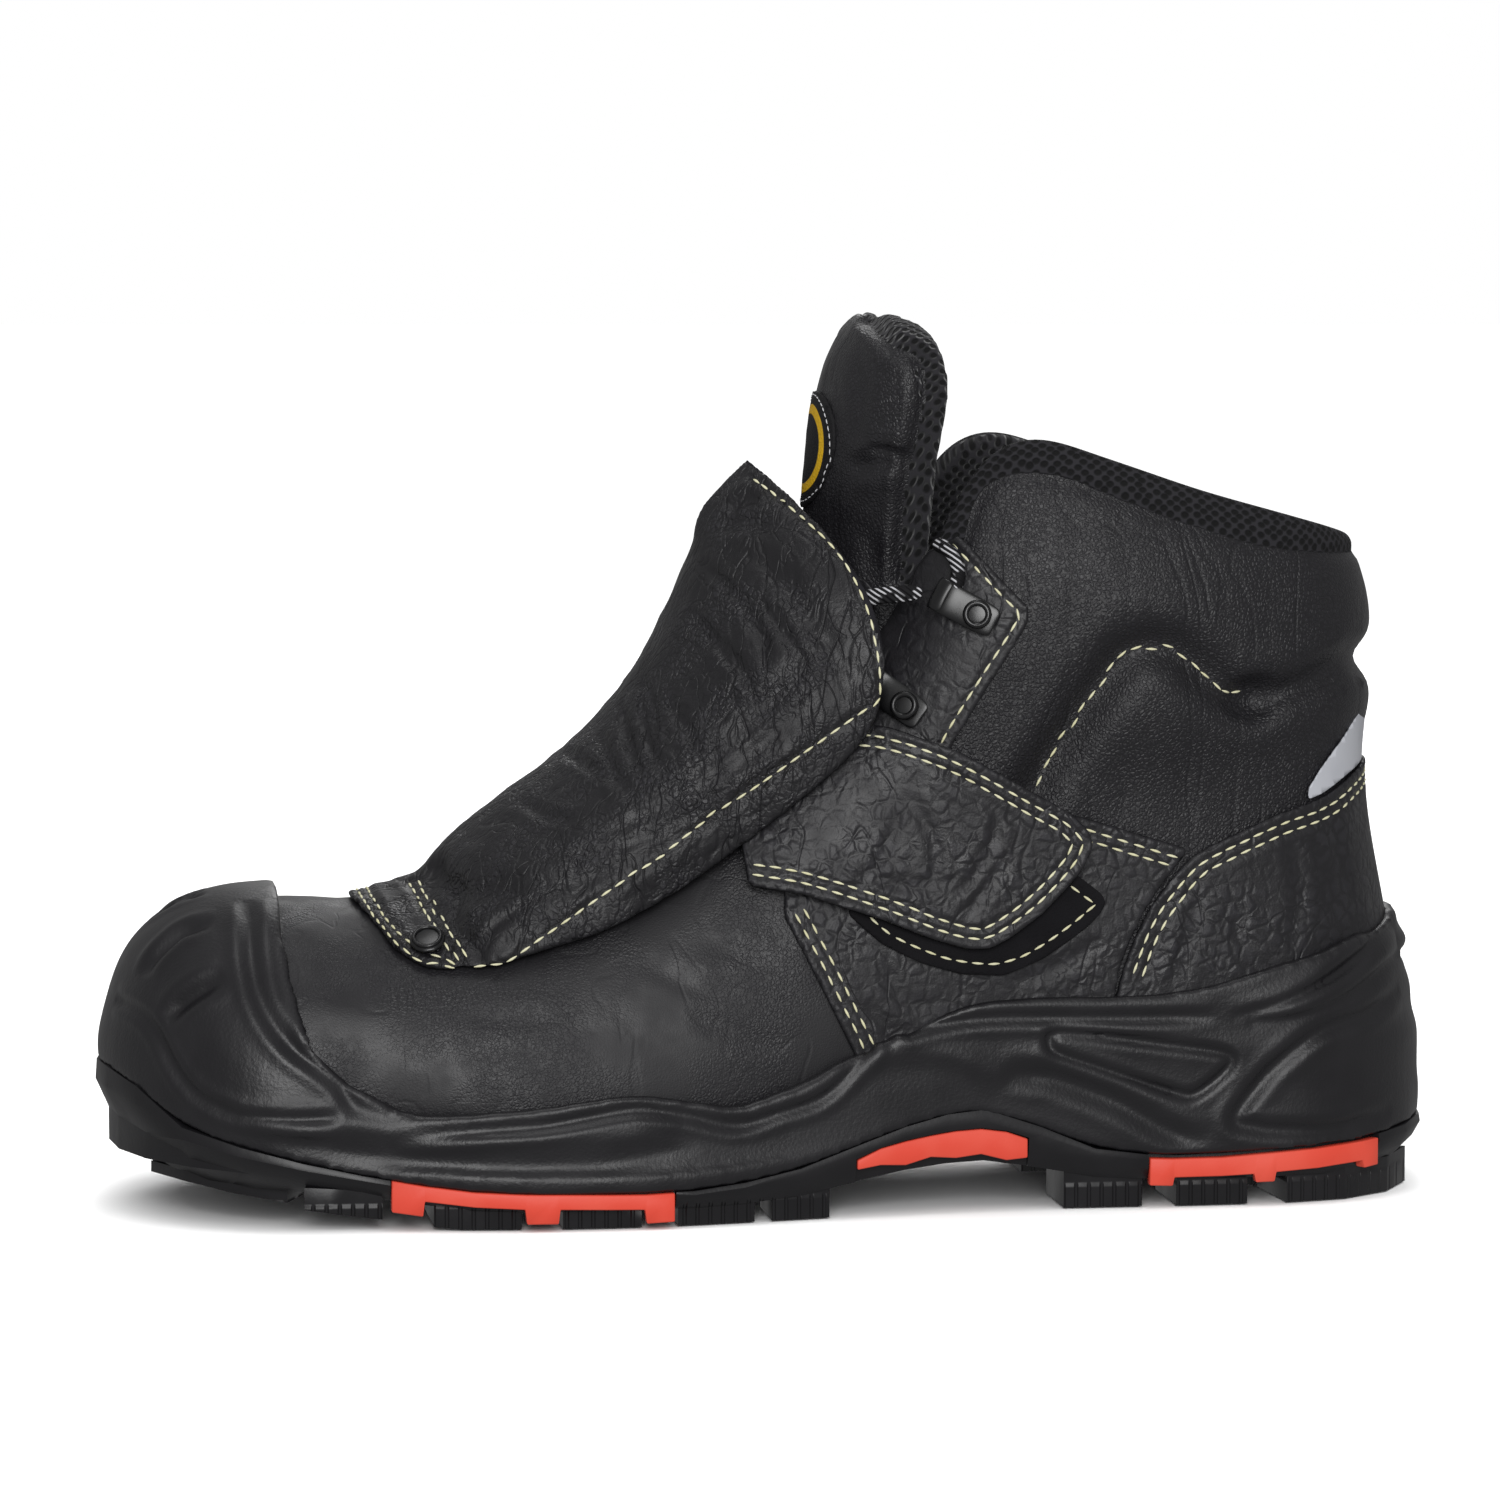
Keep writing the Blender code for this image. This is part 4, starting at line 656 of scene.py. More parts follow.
# Upper: vamp, padded collar and lining in one shell. Lines are pixels of the photograph.
upper = {
    "quilting": [
        [(1035, 788), (1049, 762), (1068, 734), (1086, 706), (1103, 683), (1121, 660), (1137, 649),
         (1151, 647), (1170, 649), (1186, 657), (1202, 672), (1216, 683), (1230, 696), (1242, 699),
         (1256, 699)]],
    "rollCrease": [
        [(1256, 699), (1284, 693), (1312, 682), (1336, 669), (1352, 660)]],
    "vampCreases": [
        [(640, 960), (690, 985), (735, 1000)], [(700, 940), (742, 955), (775, 962)],
        [(455, 1010), (505, 1020), (560, 1018)], [(690, 1010), (740, 1035), (790, 1052)]],
    "collarFolds": [
        [(1012, 520), (1018, 590), (1012, 650)], [(1072, 505), (1078, 570), (1072, 640)],
        [(1122, 520), (1128, 580), (1120, 625)], [(1196, 545), (1200, 600), (1190, 640)],
        [(1262, 560), (1268, 610), (1262, 660)], [(1120, 740), (1126, 780), (1120, 820)],
        [(1180, 730), (1186, 775), (1180, 825)]],
    # side view, x and z, in millimetres
    "liningEdge": [
        (-66, 150), (-59.4, 166.6), (-50.1, 170), (-26.4, 163.1), (-19.4, 160.3), (-11.5, 157.7),
        (5.5, 152.8), (20.7, 151), (38, 150)],
    # middle, half sizes and height of each soft swelling, in millimetres
    "padding": [
        ((-18.0, -40.0, 146.0), (34.0, 30.0, 14.0), 1.6),
        ((-18.0, 40.0, 146.0), (34.0, 30.0, 14.0), 1.6),
        ((-20.0, -40.0, 112.0), (16.0, 30.0, 11.0), 1.8),
        ((-20.0, 40.0, 112.0), (16.0, 30.0, 11.0), 1.8),
        ((36.0, 0.0, 139.0), (22.0, 40.0, 9.0), 1.6),
        ((36.0, 0.0, 114.0), (22.0, 40.0, 7.0), 1.2),
    ],
}


def buildUpper():
    piece = copyNode("upper", "upper_shell")
    subdivide(piece, 3)
    tree = treeOf(piece)
    lines = [bothSides(upper[name], tree) for name in ("quilting", "rollCrease", "collarFolds")]
    quilting, crease, folds = lines
    edge = [fromSide(rounded(upper["liningEdge"]), tree, side) for side in (-1, 1)]
    swell(piece, upper["padding"])
    carve(piece, crease + [behindHeel(crease[0], crease[1], tree)], 3.2, 4.0, lip=0.3)
    carve(piece, quilting, 3.4, 4.6, lip=0.4)
    carve(piece, quilting, 0.9, 1.2)
    carve(piece, edge, 0.9, 1.5)
    carve(piece, folds, 0.35, 1.6, fade=0.3)
    carve(piece, [onPhoto(line, tree) for line in upper["vampCreases"]], 0.35, 2.2, lip=0.1, fade=0.3)
    smoothShade(piece)
    return piece, quilting


def collarMaterial():
    # Microfibre below the lining edge, spacer mesh above it.
    look = looks["embossed_microfibre"]
    made, tree, shader = newMaterial("collar_microfibre_and_mesh", look["colour"], look["roughness"], 0.4)
    coords = addNode(tree, "TexCoord").outputs["Object"]
    axes = addNode(tree, "SeparateXYZ", [coords])
    curve = addNode(tree, "FloatCurve", {"Value": addNode(tree, "MapRange", [axes, -0.08, 0.05])})
    points = curve.mapping.curves[0].points
    for k, (x, z) in enumerate([(-80.0, 130.0)] + upper["liningEdge"][:-1] + [(50.0, 150.0)]):
        at = ((x + 80.0) / 130.0, (z - 120.0) / 80.0)
        if k < 2:
            points[k].location = at
        else:
            points.new(*at)
    curve.mapping.update()
    edge = addNode(tree, "MapRange", [curve, 0.0, 1.0, 0.12, 0.2])
    over = addNode(tree, "Math", [axes.outputs[2], edge], operation="SUBTRACT")
    mask = addNode(tree, "MapRange", [over, -0.0002, 0.0002])
    height, relief = leatherHeight(tree, coords, look)
    shaded_hole, knitted = knitPattern(tree)
    low = addNode(tree, "Math", [height, look["depth"] * mm], operation="MULTIPLY")
    high = addNode(tree, "Math", [shaded_hole, knit["depth"] * mm], operation="MULTIPLY")
    both = addNode(tree, "Mix", {0: mask, 2: low, 3: high}, data_type="FLOAT")
    # Painted shade: the valleys of the grain, and a little the patches where it fades, take the darker "crease"
    # colour.
    hide = {0: relief, 6: linear(look["crease"]), 7: linear(look["colour"])}
    grained = addNode(tree, "Mix", hide, **ofColours)
    tint = addNode(tree, "Mix", {0: mask, 6: grained.outputs[2], 7: knitted}, **ofColours)
    plug(shader, {
        "Normal": addNode(tree, "Bump", {"Height": both, "Distance": 1.0}),
        "Roughness": addNode(tree, "MapRange", [mask, 0.0, 1.0, look["roughness"], 0.9]),
        "Base Color": tint.outputs[2],
    })
    return made


shell, quilting = buildUpper()
layCloth(shell)
finishPiece(shell, waxed, "smooth_leather", "upper")
shell.data.materials.append(collarMaterial())
shell.data.materials.append(mesh)
centres, facing = facesOf(shell)
inside = np.sum(facing * (outwards(centres) + (0, 0, 0.4)), axis=1) < 0
collar = (centres[:, 0] > -96.0) & (centres[:, 2] > 60.0)
shell.data.polygons.foreach_set("material_index", np.where(inside, 2, np.where(collar, 1, 0)).astype(np.int32))
sew("collar_stitching", quilting, shell)

# Side-view outlines of the sewn panels, in millimetres. Seams run inside them, between two corner numbers.
panels = {
    "quarter": {
        "outline": [
            (-88, 26), (-91.5, 36.8), (-99.6, 53.3), (-107.8, 69.3), (-107, 79), (-98, 88.5), (-85, 94.5),
            (-62, 96), (-37.2, 90.7), (-12.6, 83), (-18.6, 75.6), (-22.9, 69.7), (-26.7, 62.4), (-29.6, 55),
            (-31, 44), (-40, 40), (-60, 34)],
        "lift": 0.2, "thick": 1.6, "voxel": 0.65, "insets": [2.6, 4.9], "seams": [(1, 3), (8, 9)],
    },
    "eyestay": {
        "outline": [
            (-54, 142.7), (-50.9, 139.6), (-50.7, 136.3), (-60, 121.5), (-67.8, 108.9), (-71.5, 99.8),
            (-86, 98.6), (-101, 93.5), (-112, 90), (-112, 106), (-92, 124), (-72, 152), (-66, 156)],
        "lift": 0.2, "thick": 1.5, "voxel": 0.65, "insets": [2.6], "seams": [(12, 18)],
    },
    "pile": {
        "outline": [
            (-93.4, 69.8), (-85.4, 62.6), (-76, 58), (-66.7, 55.2), (-56.8, 54.8), (-47.6, 58.4),
            (-36.8, 65.8), (-32.6, 70.6), (-33.4, 73), (-39.9, 78), (-60, 84), (-85, 82)],
        "lift": 1.9, "thick": 1.3, "voxel": 0.5, "insets": [3.0], "seams": [(0, 9)],
    },
    "strap": {
        "outline": [
            (-90, 113), (-82.3, 112), (-67.4, 106.6), (-48.6, 96.2), (-41, 91.9), (-37.2, 88), (-36, 84.5),
            (-39, 78.6), (-47.6, 69.7), (-55.2, 64.1), (-60.5, 61.4), (-66, 61.4), (-74.6, 64), (-85.3, 68.3),
            (-103.7, 74.4), (-116, 76.5), (-118, 95), (-105, 108)],
        "lift": 3.3, "thick": 2.6, "voxel": 0.55, "insets": [2.6, 4.9], "seams": [(0, 15)],
    },
    "counter": {
        "outline": [
            (60, 111), (36, 101.5), (28, 97.6), (21, 94), (8.7, 90.5), (-7.5, 83.7), (-12.1, 81.2),
            (-17.7, 75.4), (-22.1, 69.7), (-25.9, 62.4), (-28.8, 55), (-31.5, 44), (-10, 42), (60, 55)],
        "lift": 0.2, "thick": 1.6, "voxel": 0.75, "insets": [2.6, 4.9], "seams": [(1, 10)],
    },
    "strip": {
        "outline": [
            (60, 118), (36, 115), (30.6, 112), (27, 107.8), (23.9, 104.6), (20.3, 100.6), (17, 96),
            (17, 93.6), (21, 94.9), (28, 98.6), (60, 112)],
        "lift": 0.2, "thick": 0.7, "voxel": None, "round": 1.0, "insets": [], "seams": [],
    },
    # folds: depth, width, lip and fade, then their lines, as pixels of the photograph
    "folds": {
        "strap": (0.45, 1.6, 0.15, 0.25, [
            [(905, 790), (935, 845), (928, 905)], [(930, 760), (985, 800), (1040, 835)],
            [(860, 870), (900, 885), (960, 880)], [(1000, 800), (990, 850), (955, 900)],
            [(840, 905), (880, 860), (900, 810)], [(1010, 850), (985, 890), (960, 925)]]),
        "quarter_lateral": (0.4, 1.8, 0.12, 0.25, [
            [(880, 960), (905, 1000), (940, 1008)], [(1010, 985), (1060, 965), (1105, 940)],
            [(860, 1000), (890, 1030), (900, 1040)]]),
        "counter": (0.4, 2.2, 0.12, 0.25, [
            [(1175, 890), (1160, 930), (1150, 985)], [(1200, 880), (1188, 940), (1170, 990)],
            [(1290, 830), (1300, 890), (1290, 950)], [(1230, 900), (1250, 960), (1290, 975)],
            [(1330, 800), (1340, 860), (1345, 900)]]),
    },
}


def buildPanels():
    made = {}
    for side, word in ((-1, "lateral"), (1, "medial")):
        made["quarter_" + word] = cutPanel("quarter_panel_" + word, panels["quarter"], side)
        made["eyestay_" + word] = cutPanel("eyestay_panel_" + word, panels["eyestay"], side)
    for name, side in (("pile", -1), ("strap", -1), ("counter", 0), ("strip", 0)):
        made[name] = cutPanel(name + "_panel", panels[name], side)
    for name, (depth, width, lip, fade, lines) in panels["folds"].items():
        tree = treeOf(made[name])
        lines = bothSides(lines, tree) if name == "counter" else [onPhoto(line, tree) for line in lines]
        carve(made[name], lines, depth, width, lip, fade)
    return made


def buildSeams(made):
    sides = {"medial": [1], "counter": [-1, 1]}
    for name, piece in made.items():
        panel, word = name.split("_")[0], name.split("_")[-1]
        shape, tree = panels[panel], treeOf(piece)
        seams = [fromSide(innerLine(shape["outline"], inset, *ends), tree, side)
                 for inset in shape["insets"] for ends in shape["seams"] for side in sides.get(word, [-1])]
        if seams:
            carve(piece, seams, 0.35, 0.8, lip=0.06)
            sew(name + "_stitching", seams, piece)


sewn = buildPanels()
buildSeams(sewn)
for word in ("lateral", "medial"):
    finishPiece(sewn["quarter_" + word], tumbled, "grained_leather", "quarter_" + word)
    finishPiece(sewn["eyestay_" + word], tumbled, "smooth_leather", "eyestay_" + word)
finishPiece(sewn["pile"], loopTape, "pile_tape", "pile_pad")
finishPiece(sewn["strap"], tumbled, "grained_leather", "strap")
finishPiece(sewn["counter"], tumbled, "grained_leather", "heel_counter")
finishPiece(sewn["strip"], film, "reflective_film", "heel_reflective_strip")
print("panels sewn")

# Guard flap: padded leather over the instep. Each groove is its depth, width, lip and fade, and its lines, as
# pixels of the photograph.
guardFlap = {
    # degrees and millimetres; each swell is a size and a height
    "crease": 50.0, "voxel": 0.8, "soften": 5, "swells": [(14.0, 1.1), (5.0, 0.4)],
    "grooves": {
        "valley": (2.6, 4.2, 0.0, 0.0, [
            [(432, 868), (441, 895), (452, 925), (468, 955)]]),
        "bumpFoot": (1.8, 4.0, 0.0, 0.2, [
            [(438, 878), (460, 890), (490, 893), (520, 888)]]),
        "neck": (1.3, 2.4, 0.3, 0.2, [
            [(724, 512), (742, 500), (760, 498)], [(718, 522), (745, 520), (775, 530)]]),
        "folds": (0.75, 1.5, 0.25, 0.3, [
            [(460, 942), (474, 918), (500, 898), (532, 886)], [(472, 952), (494, 926), (524, 905), (548, 898)],
            [(640, 674), (648, 692), (652, 710), (656, 746)], [(688, 610), (702, 624), (716, 642), (740, 674)],
            [(716, 638), (732, 658), (744, 674), (756, 706)], [(740, 602), (752, 620), (764, 642), (768, 668)],
            [(640, 690), (644, 720), (652, 752), (672, 778)], [(564, 750), (596, 770), (620, 782)],
            [(620, 700), (628, 740), (640, 775)], [(668, 700), (690, 735), (700, 760)],
            [(700, 560), (730, 590), (752, 612)], [(760, 600), (790, 640), (806, 662)],
            [(600, 730), (612, 770), (636, 800)], [(520, 800), (548, 815), (580, 820)]]),
        "longFolds": (0.7, 2.4, 0.3, 0.25, [
            [(580, 842), (620, 828), (660, 810), (710, 780), (760, 746), (812, 698), (832, 686)],
            [(472, 886), (520, 886), (564, 882), (620, 866), (692, 830), (748, 790), (800, 746)],
            [(640, 800), (700, 770), (750, 725), (790, 680), (812, 640)],
            [(560, 860), (620, 848), (690, 815), (740, 780)],
            [(744, 540), (790, 590), (826, 640), (848, 680)]]),
    },
    "seams": [
        [(752, 478), (780, 498), (812, 526), (836, 550), (856, 582), (872, 626), (880, 674), (878, 722),
         (862, 758), (820, 794), (760, 842), (700, 882), (644, 914), (580, 942), (508, 962), (472, 968)],
        [(358, 890), (384, 930), (412, 956), (456, 968)], [(366, 886), (392, 925), (420, 948), (458, 960)],
        [(408, 880), (458, 960)], [(417, 877), (467, 957)]],
    # side view, x and z, in millimetres
    "rim": [
        (-190.5, 57.2), (-180, 56.4), (-171.5, 57.6), (-162.5, 60), (-150, 63.6), (-138, 68.8),
        (-127, 75), (-115.5, 82.6), (-103.5, 91), (-91, 100.8), (-83.6, 109), (-81.5, 119),
        (-84.5, 131), (-93, 153), (-103, 166), (-110.5, 172.3)],
}


def buildGuard():
    piece = plump("guard_flap", "guard_leather", guardFlap)
    for size, height in guardFlap["swells"]:
        undulate(piece, size, height)
    places, seams = cast(guardFlap["grooves"], piece), bothSides(guardFlap["seams"], treeOf(piece))
    carveAll(piece, guardFlap["grooves"], places, outerOnly=False)
    carve(piece, seams, 0.5, 1.1, lip=0.12)
    smoothShade(piece)
    sew("guard_stitching", seams, piece)
    return piece


guard = buildGuard()
finishPiece(guard, pulled, "grained_leather", "guard_flap")
guard.data.materials.append(cutEdge)
# The rim of the flap shows the raw hide.
rim = np.array([(x, 0.0, z) for x, z in guardFlap["rim"]])
gap = nearLine(facesOf(guard)[0] * (1, 0, 1), rounded(rim), 3.0)[0]
guard.data.polygons.foreach_set("material_index", (gap < 0.9).astype(np.int32))

# Tongue: leather in front, spacer mesh behind. Grooves as on the guard.
tonguePad = {
    "crease": 60.0, "voxel": 0.9, "soften": 12, "swells": [(12.0, 0.7)],
    "grooves": {
        "edge": (1.4, 2.0, 0.5, 0.0, [
            [(868, 318), (880, 332), (893, 346), (912, 353), (922, 362), (926, 390), (922, 418), (914, 455),
             (907, 489), (904, 530), (903, 578)]]),
        "pinch": (1.1, 2.2, 0.4, 0.3, [
            [(866, 455), (882, 452), (900, 458), (912, 470)], [(850, 470), (880, 462), (905, 470)]]),
        "folds": (0.35, 2.5, 0.1, 0.3, [
            [(858, 345), (861, 400), (852, 450)], [(866, 520), (870, 550), (866, 585)]]),
    },
}


def buildTongue():
    piece = plump("tongue", "tongue_pad", tonguePad)
    places = cast(tonguePad["grooves"], piece)
    for size, height in tonguePad["swells"]:
        undulate(piece, size, height)
    carveAll(piece, tonguePad["grooves"], places, outerOnly=False)
    smoothShade(piece)
    return piece, places["edge"]


tongue, tongueEdge = buildTongue()
layCloth(tongue)
finishPiece(tongue, microfibre, "smooth_leather", "tongue")
tongue.data.materials.append(mesh)
centres, facing = facesOf(tongue)
ridge = tongueEdge[0][np.argsort(tongueEdge[0][:, 2])]
split = np.interp(centres[:, 2], ridge[:, 2], ridge[:, 0])
behind = (centres[:, 0] > split) | (facing[:, 0] > 0.55)
tongue.data.polygons.foreach_set("material_index", behind.astype(np.int32))
print("padded pieces made")

# Badge on the tongue: a plain yellow ring on black twill, sewn round its edge.
badge = {"ring": (0.6, 0.76), "seam": 0.91, "thick": 1.1, "twill": "#131215", "yellow": "#e9b91c"}


def badgeMaterial():
    made, tree, shader = newMaterial("woven_badge", badge["twill"], 0.7, 0.3)
    ring = addNode(tree, "Attribute", attribute_name="ring").outputs["Fac"]
    low, high = badge["ring"]
    inside = addNode(tree, "MapRange", [ring, low - 0.01, low + 0.01], **softStep)
    outside = addNode(tree, "MapRange", [ring, high - 0.01, high + 0.01, 1.0, 0.0], **softStep)
    band = addNode(tree, "Math", [inside, outside], operation="MULTIPLY")
    coords = addNode(tree, "TexCoord").outputs["Object"]
    weave = addNode(tree, "TexNoise", {"Vector": coords, "Scale": 1 / (0.5 * mm)})
    height = addNode(tree, "Math", [band, weave], operation="ADD")
    tint = addNode(tree, "Mix", {0: band, 6: linear(badge["twill"]), 7: linear(badge["yellow"])}, **ofColours)
    plug(shader, {"Normal": addNode(tree, "Bump", {"Height": height, "Distance": 0.25 * mm}),
                  "Base Color": tint.outputs[2]})
    return made


def buildBadge():
    piece = copyNode("tongue_patch", "tongue_badge")
    subdivide(piece, 3, "SIMPLE")
    points = pointsOf(piece)
    middle, half = (points.max(0) + points.min(0)) / 2, (points.max(0) - points.min(0)) / 2
    away = np.linalg.norm((points - middle)[:, 1:] / half[1:], axis=1)
    piece.data.attributes.new("ring", "FLOAT", "POINT").data.foreach_set("value", away)
    # It lies on the curved front of the pad.
    pad = treeOf(tongue)
    front = np.clip(-normalsOf(piece)[:, 0], 0, 1)
    for k, spot in enumerate(points):
        place, way = pad.find_nearest(Vector(spot) * mm)[:2]
        points[k] = np.array(place) / mm + np.array(way) * (badge["thick"] * front[k] - 0.2)
    putPoints(piece, points)
    smoothShade(piece)
    oval = [middle + badge["seam"] * half * (0, math.cos(turn), math.sin(turn))
            for turn in np.linspace(0, 2 * math.pi, 60)]
    seam = hits([(Vector((-200.0, y, z)) * mm, Vector((1.0, 0.0, 0.0))) for x, y, z in oval], treeOf(piece))
    sew("badge_stitching", [seam], piece, white, 0.5)
    return piece


finishPiece(buildBadge(), badgeMaterial(), "patch_thread", "tongue_patch")

# Hooks and rivets: pressed steel, painted black.
hardware = {"ring": 2.6, "wire": 0.75, "guardRing": 3.1, "guardWire": 0.5, "dome": 0.55}


def buildHook(node):
    piece = copyNode(node, node + "_steel")
    subdivide(piece, 3)
    bpy.ops.object.shade_smooth()
    finishPiece(piece, steel, "painted_steel", node)


def buildRivet(node, ring, wire):
    stud = copyNode(node, node + "_steel")
    bevel(stud, 0.5, 3)
    points = pointsOf(stud)
    middle = (points.max(0) + points.min(0)) / 2
    axis = np.linalg.svd(points - points.mean(0), full_matrices=False)[2][-1]
    axis = axis * np.sign(np.dot(axis, outwards(middle[None])[0] + (0, 0, 0.3)))
    height = (points - middle) @ axis
    top = height.max()
    putPoints(stud, points - axis * (np.clip(height, 0, None) * (1 - hardware["dome"]))[:, None])
    smoothShade(stud, 50.0)
    finishPiece(stud, steel, "painted_steel", node)
    selectOnly()
    turn = Vector(axis).to_track_quat("Z", "Y").to_euler()
    place = Vector(middle + axis * (top * hardware["dome"] - 0.1)) * mm
    bpy.ops.mesh.primitive_torus_add(major_radius=ring * mm, minor_radius=wire * mm, major_segments=28,
                                     minor_segments=10, location=place, rotation=turn)
    piece = bpy.context.object
    bpy.ops.object.transform_apply(location=True, rotation=True, scale=True)
    bpy.ops.object.shade_smooth()
    piece.name = node + "_ring"
    finishPiece(piece, steel, None)


for word in ("lateral", "medial"):
    for level in ("upper", "lower"):
        buildHook("hook_%s_%s" % (level, word))
        buildRivet("hook_rivet_%s_%s" % (level, word), hardware["ring"], hardware["wire"])
    buildRivet("guard_rivet_" + word, hardware["guardRing"], hardware["guardWire"])

# Lace: black polyester braid with white flecks.
lacing = {
    "radius": 1.7, "flecks": 1.1, "black": "#151417", "white": "#d9d9dd",
    # pixels of the photograph: the short run above the upper hook
    "run": [(949, 606), (954, 590), (960, 574), (958, 560), (948, 548), (938, 545)],
}


def laceMaterial():
    made, tree, shader = newMaterial("polyester_braid", lacing["black"], 0.75, 0.3)
    coords = addNode(tree, "TexCoord").outputs["Object"]
    turned = addNode(tree, "Mapping", {"Vector": coords, "Rotation": (0.4, 0.9, 0.3)})
    braid = addNode(tree, "TexWave", {"Vector": turned, "Scale": 0.32 / (lacing["flecks"] * mm),
                                      "Distortion": 1.2, "Detail": 1.0}).outputs[1]
    cloud = addNode(tree, "TexNoise", {"Vector": coords, "Scale": 1 / (5.0 * mm)})
    strands = addNode(tree, "MapRange", [braid, 0.6, 0.75], **softStep)
    patches = addNode(tree, "MapRange", [cloud, 0.48, 0.56], **softStep)
    fleck = addNode(tree, "Math", [strands, patches], operation="MULTIPLY")
    tint = addNode(tree, "Mix", {0: fleck, 6: linear(lacing["black"]), 7: linear(lacing["white"])}, **ofColours)
    plug(shader, {"Normal": addNode(tree, "Bump", {"Height": braid, "Distance": 0.3 * mm}),
                  "Base Color": tint.outputs[2]})
    return made


def buildLace(material):
    piece = copyNode("lace", "lace_crossings")
    subdivide(piece, 2)
    bpy.ops.object.shade_smooth()
    finishPiece(piece, material, "lace_cord", "lace")
    trees = treeOf(sewn["eyestay_lateral"]), treeOf(shell)
    route = []
    for x, y in lacing["run"]:
        near = [spot for tree in trees for spot in onPhoto([(x, y), (x + 0.1, y)], tree)]
        route += [spot + (-0.2, -2.0, 0.2) for spot in near[:1]]
    selectOnly()
    bpy.ops.curve.primitive_nurbs_path_add()
    cord = bpy.context.object
    spline = cord.data.splines[0]
    spline.points.add(max(0, len(route) - len(spline.points)))
    for point, spot in zip(spline.points, route + [route[-1]] * 5):
        point.co = (*(spot * mm), 1.0)
    cord.data.bevel_depth, cord.data.bevel_resolution, cord.data.resolution_u = lacing["radius"] * mm, 3, 8
    cord.data.use_fill_caps = True
    selectOnly(cord)
    bpy.ops.object.convert(target="MESH")
    cord = bpy.context.object
    cord.name = "lace_end"
    bpy.ops.object.shade_smooth()
    finishPiece(cord, material, None)


buildLace(laceMaterial())
keeper = copyNode("lace_keeper", "lace_keeper_loop")
bevel(keeper, 0.3)
finishPiece(keeper, tumbled, None, "lace_keeper")
print("badge, hooks and lace made")

# Midsole: moulded foam with the toe bumper. Grooves are given as the guard's are; a negative depth is a ridge.
sole = {
    "crease": 55.0, "voxel": 0.85, "soften": 4, "thicker": 0.3, "keep": 0.55,
    "grooves": {
        "toeLeaves": (2.0, 2.2, 0.5, 0.3, [
            [(143, 977), (148, 965), (155, 955), (168, 942), (184, 930), (215, 921)],
            [(165, 1024), (176, 1008), (190, 996), (206, 986), (225, 976)],
            [(143, 924), (160, 912), (180, 901), (206, 892)]]),
        "capEdge": (1.0, 1.8, 0.5, 0.1, [
            [(248, 900), (250, 938), (252, 962), (258, 992), (272, 1022), (294, 1048), (322, 1068),
             (344, 1088), (360, 1116)]]),
        "capFoot": (0.8, 1.4, 0.35, 0.06, [
            [(115, 999), (130, 1006), (143, 1015), (152, 1026), (159, 1037), (171, 1062), (184, 1082),
             (199, 1097), (220, 1108), (244, 1116), (290, 1120), (341, 1119)]]),
        "toeRidge": (-0.9, 2.6, 0.0, 0.1, [
            [(224, 1106), (256, 1122), (306, 1130), (354, 1126), (420, 1136), (500, 1140), (600, 1136),
             (680, 1126)]]),
        "lowGroove": (0.6, 2.2, 0.0, 0.1, [
            [(240, 1128), (300, 1142), (380, 1158), (480, 1166), (600, 1164), (700, 1146)]]),
        "topLip": (0.8, 1.4, 0.5, 0.03, [
            [(392, 1136), (440, 1135), (492, 1131), (548, 1126), (618, 1112), (647, 1110), (689, 1116),
             (736, 1125), (780, 1112), (826, 1094), (876, 1044), (906, 1032), (946, 1023), (1000, 1018),
             (1100, 1018), (1216, 1016)]]),
        "capRim": (-0.7, 1.7, 0.0, 0.05, [
            [(281, 935), (287, 975), (302, 1036), (322, 1063), (352, 1090), (392, 1110)]]),
        "recess": (1.2, 1.2, 0.15, 0.0, [
            [(1050, 1036), (1060, 1032), (1100, 1036), (1160, 1044), (1224, 1053), (1231, 1064), (1214, 1082),
             (1194, 1095), (1180, 1094), (1140, 1082), (1100, 1068), (1056, 1053), (1050, 1044),
             (1050, 1036)]]),
        "sideRidge": (1.1, 2.4, 0.5, 0.15, [
            [(1000, 1075), (1030, 1076), (1061, 1081), (1117, 1103), (1172, 1133), (1209, 1143)]]),
        "swoosh": (1.2, 1.8, 0.4, 0.1, [
            [(1400, 990), (1368, 1014), (1322, 1031), (1281, 1062), (1258, 1086), (1236, 1119), (1255, 1127),
             (1281, 1130), (1337, 1129), (1392, 1112)]]),
        "rolls": (-1.4, 2.6, 0.0, 0.2, [
            [(1228, 1010), (1256, 1003), (1285, 992), (1325, 966), (1366, 930), (1388, 910)],
            [(1252, 1018), (1300, 1005), (1345, 983), (1396, 940)]]),
        "ribs": (0.8, 1.2, 0.0, 0.08, [
            [(1230, 1017), (1276, 1004), (1332, 977), (1378, 937), (1398, 919)],
            [(1246, 1023), (1307, 1014), (1353, 992), (1400, 953)]]),
        "archSweep": (-0.8, 3.0, 0.0, 0.15, [
            [(740, 1118), (790, 1100), (830, 1080), (870, 1058), (910, 1050), (960, 1056), (1010, 1078)]]),
    },
}


def buildMidsole():
    piece = plump("midsole", "midsole_foam", sole)
    places, tree = cast(sole["grooves"], piece), treeOf(piece)
    for name in ("ribs", "rolls"):
        # The lower of each pair runs on round the back of the heel.
        places[name].append(behindHeel(places[name][1], places[name][3], tree))
    carveAll(piece, sole["grooves"], places)
    change(piece, "DECIMATE", ratio=sole["keep"])  # the share of its triangles that stays
    smoothShade(piece)
    return piece


midsole = buildMidsole()
finishPiece(midsole, foam, "moulded_foam", "midsole")


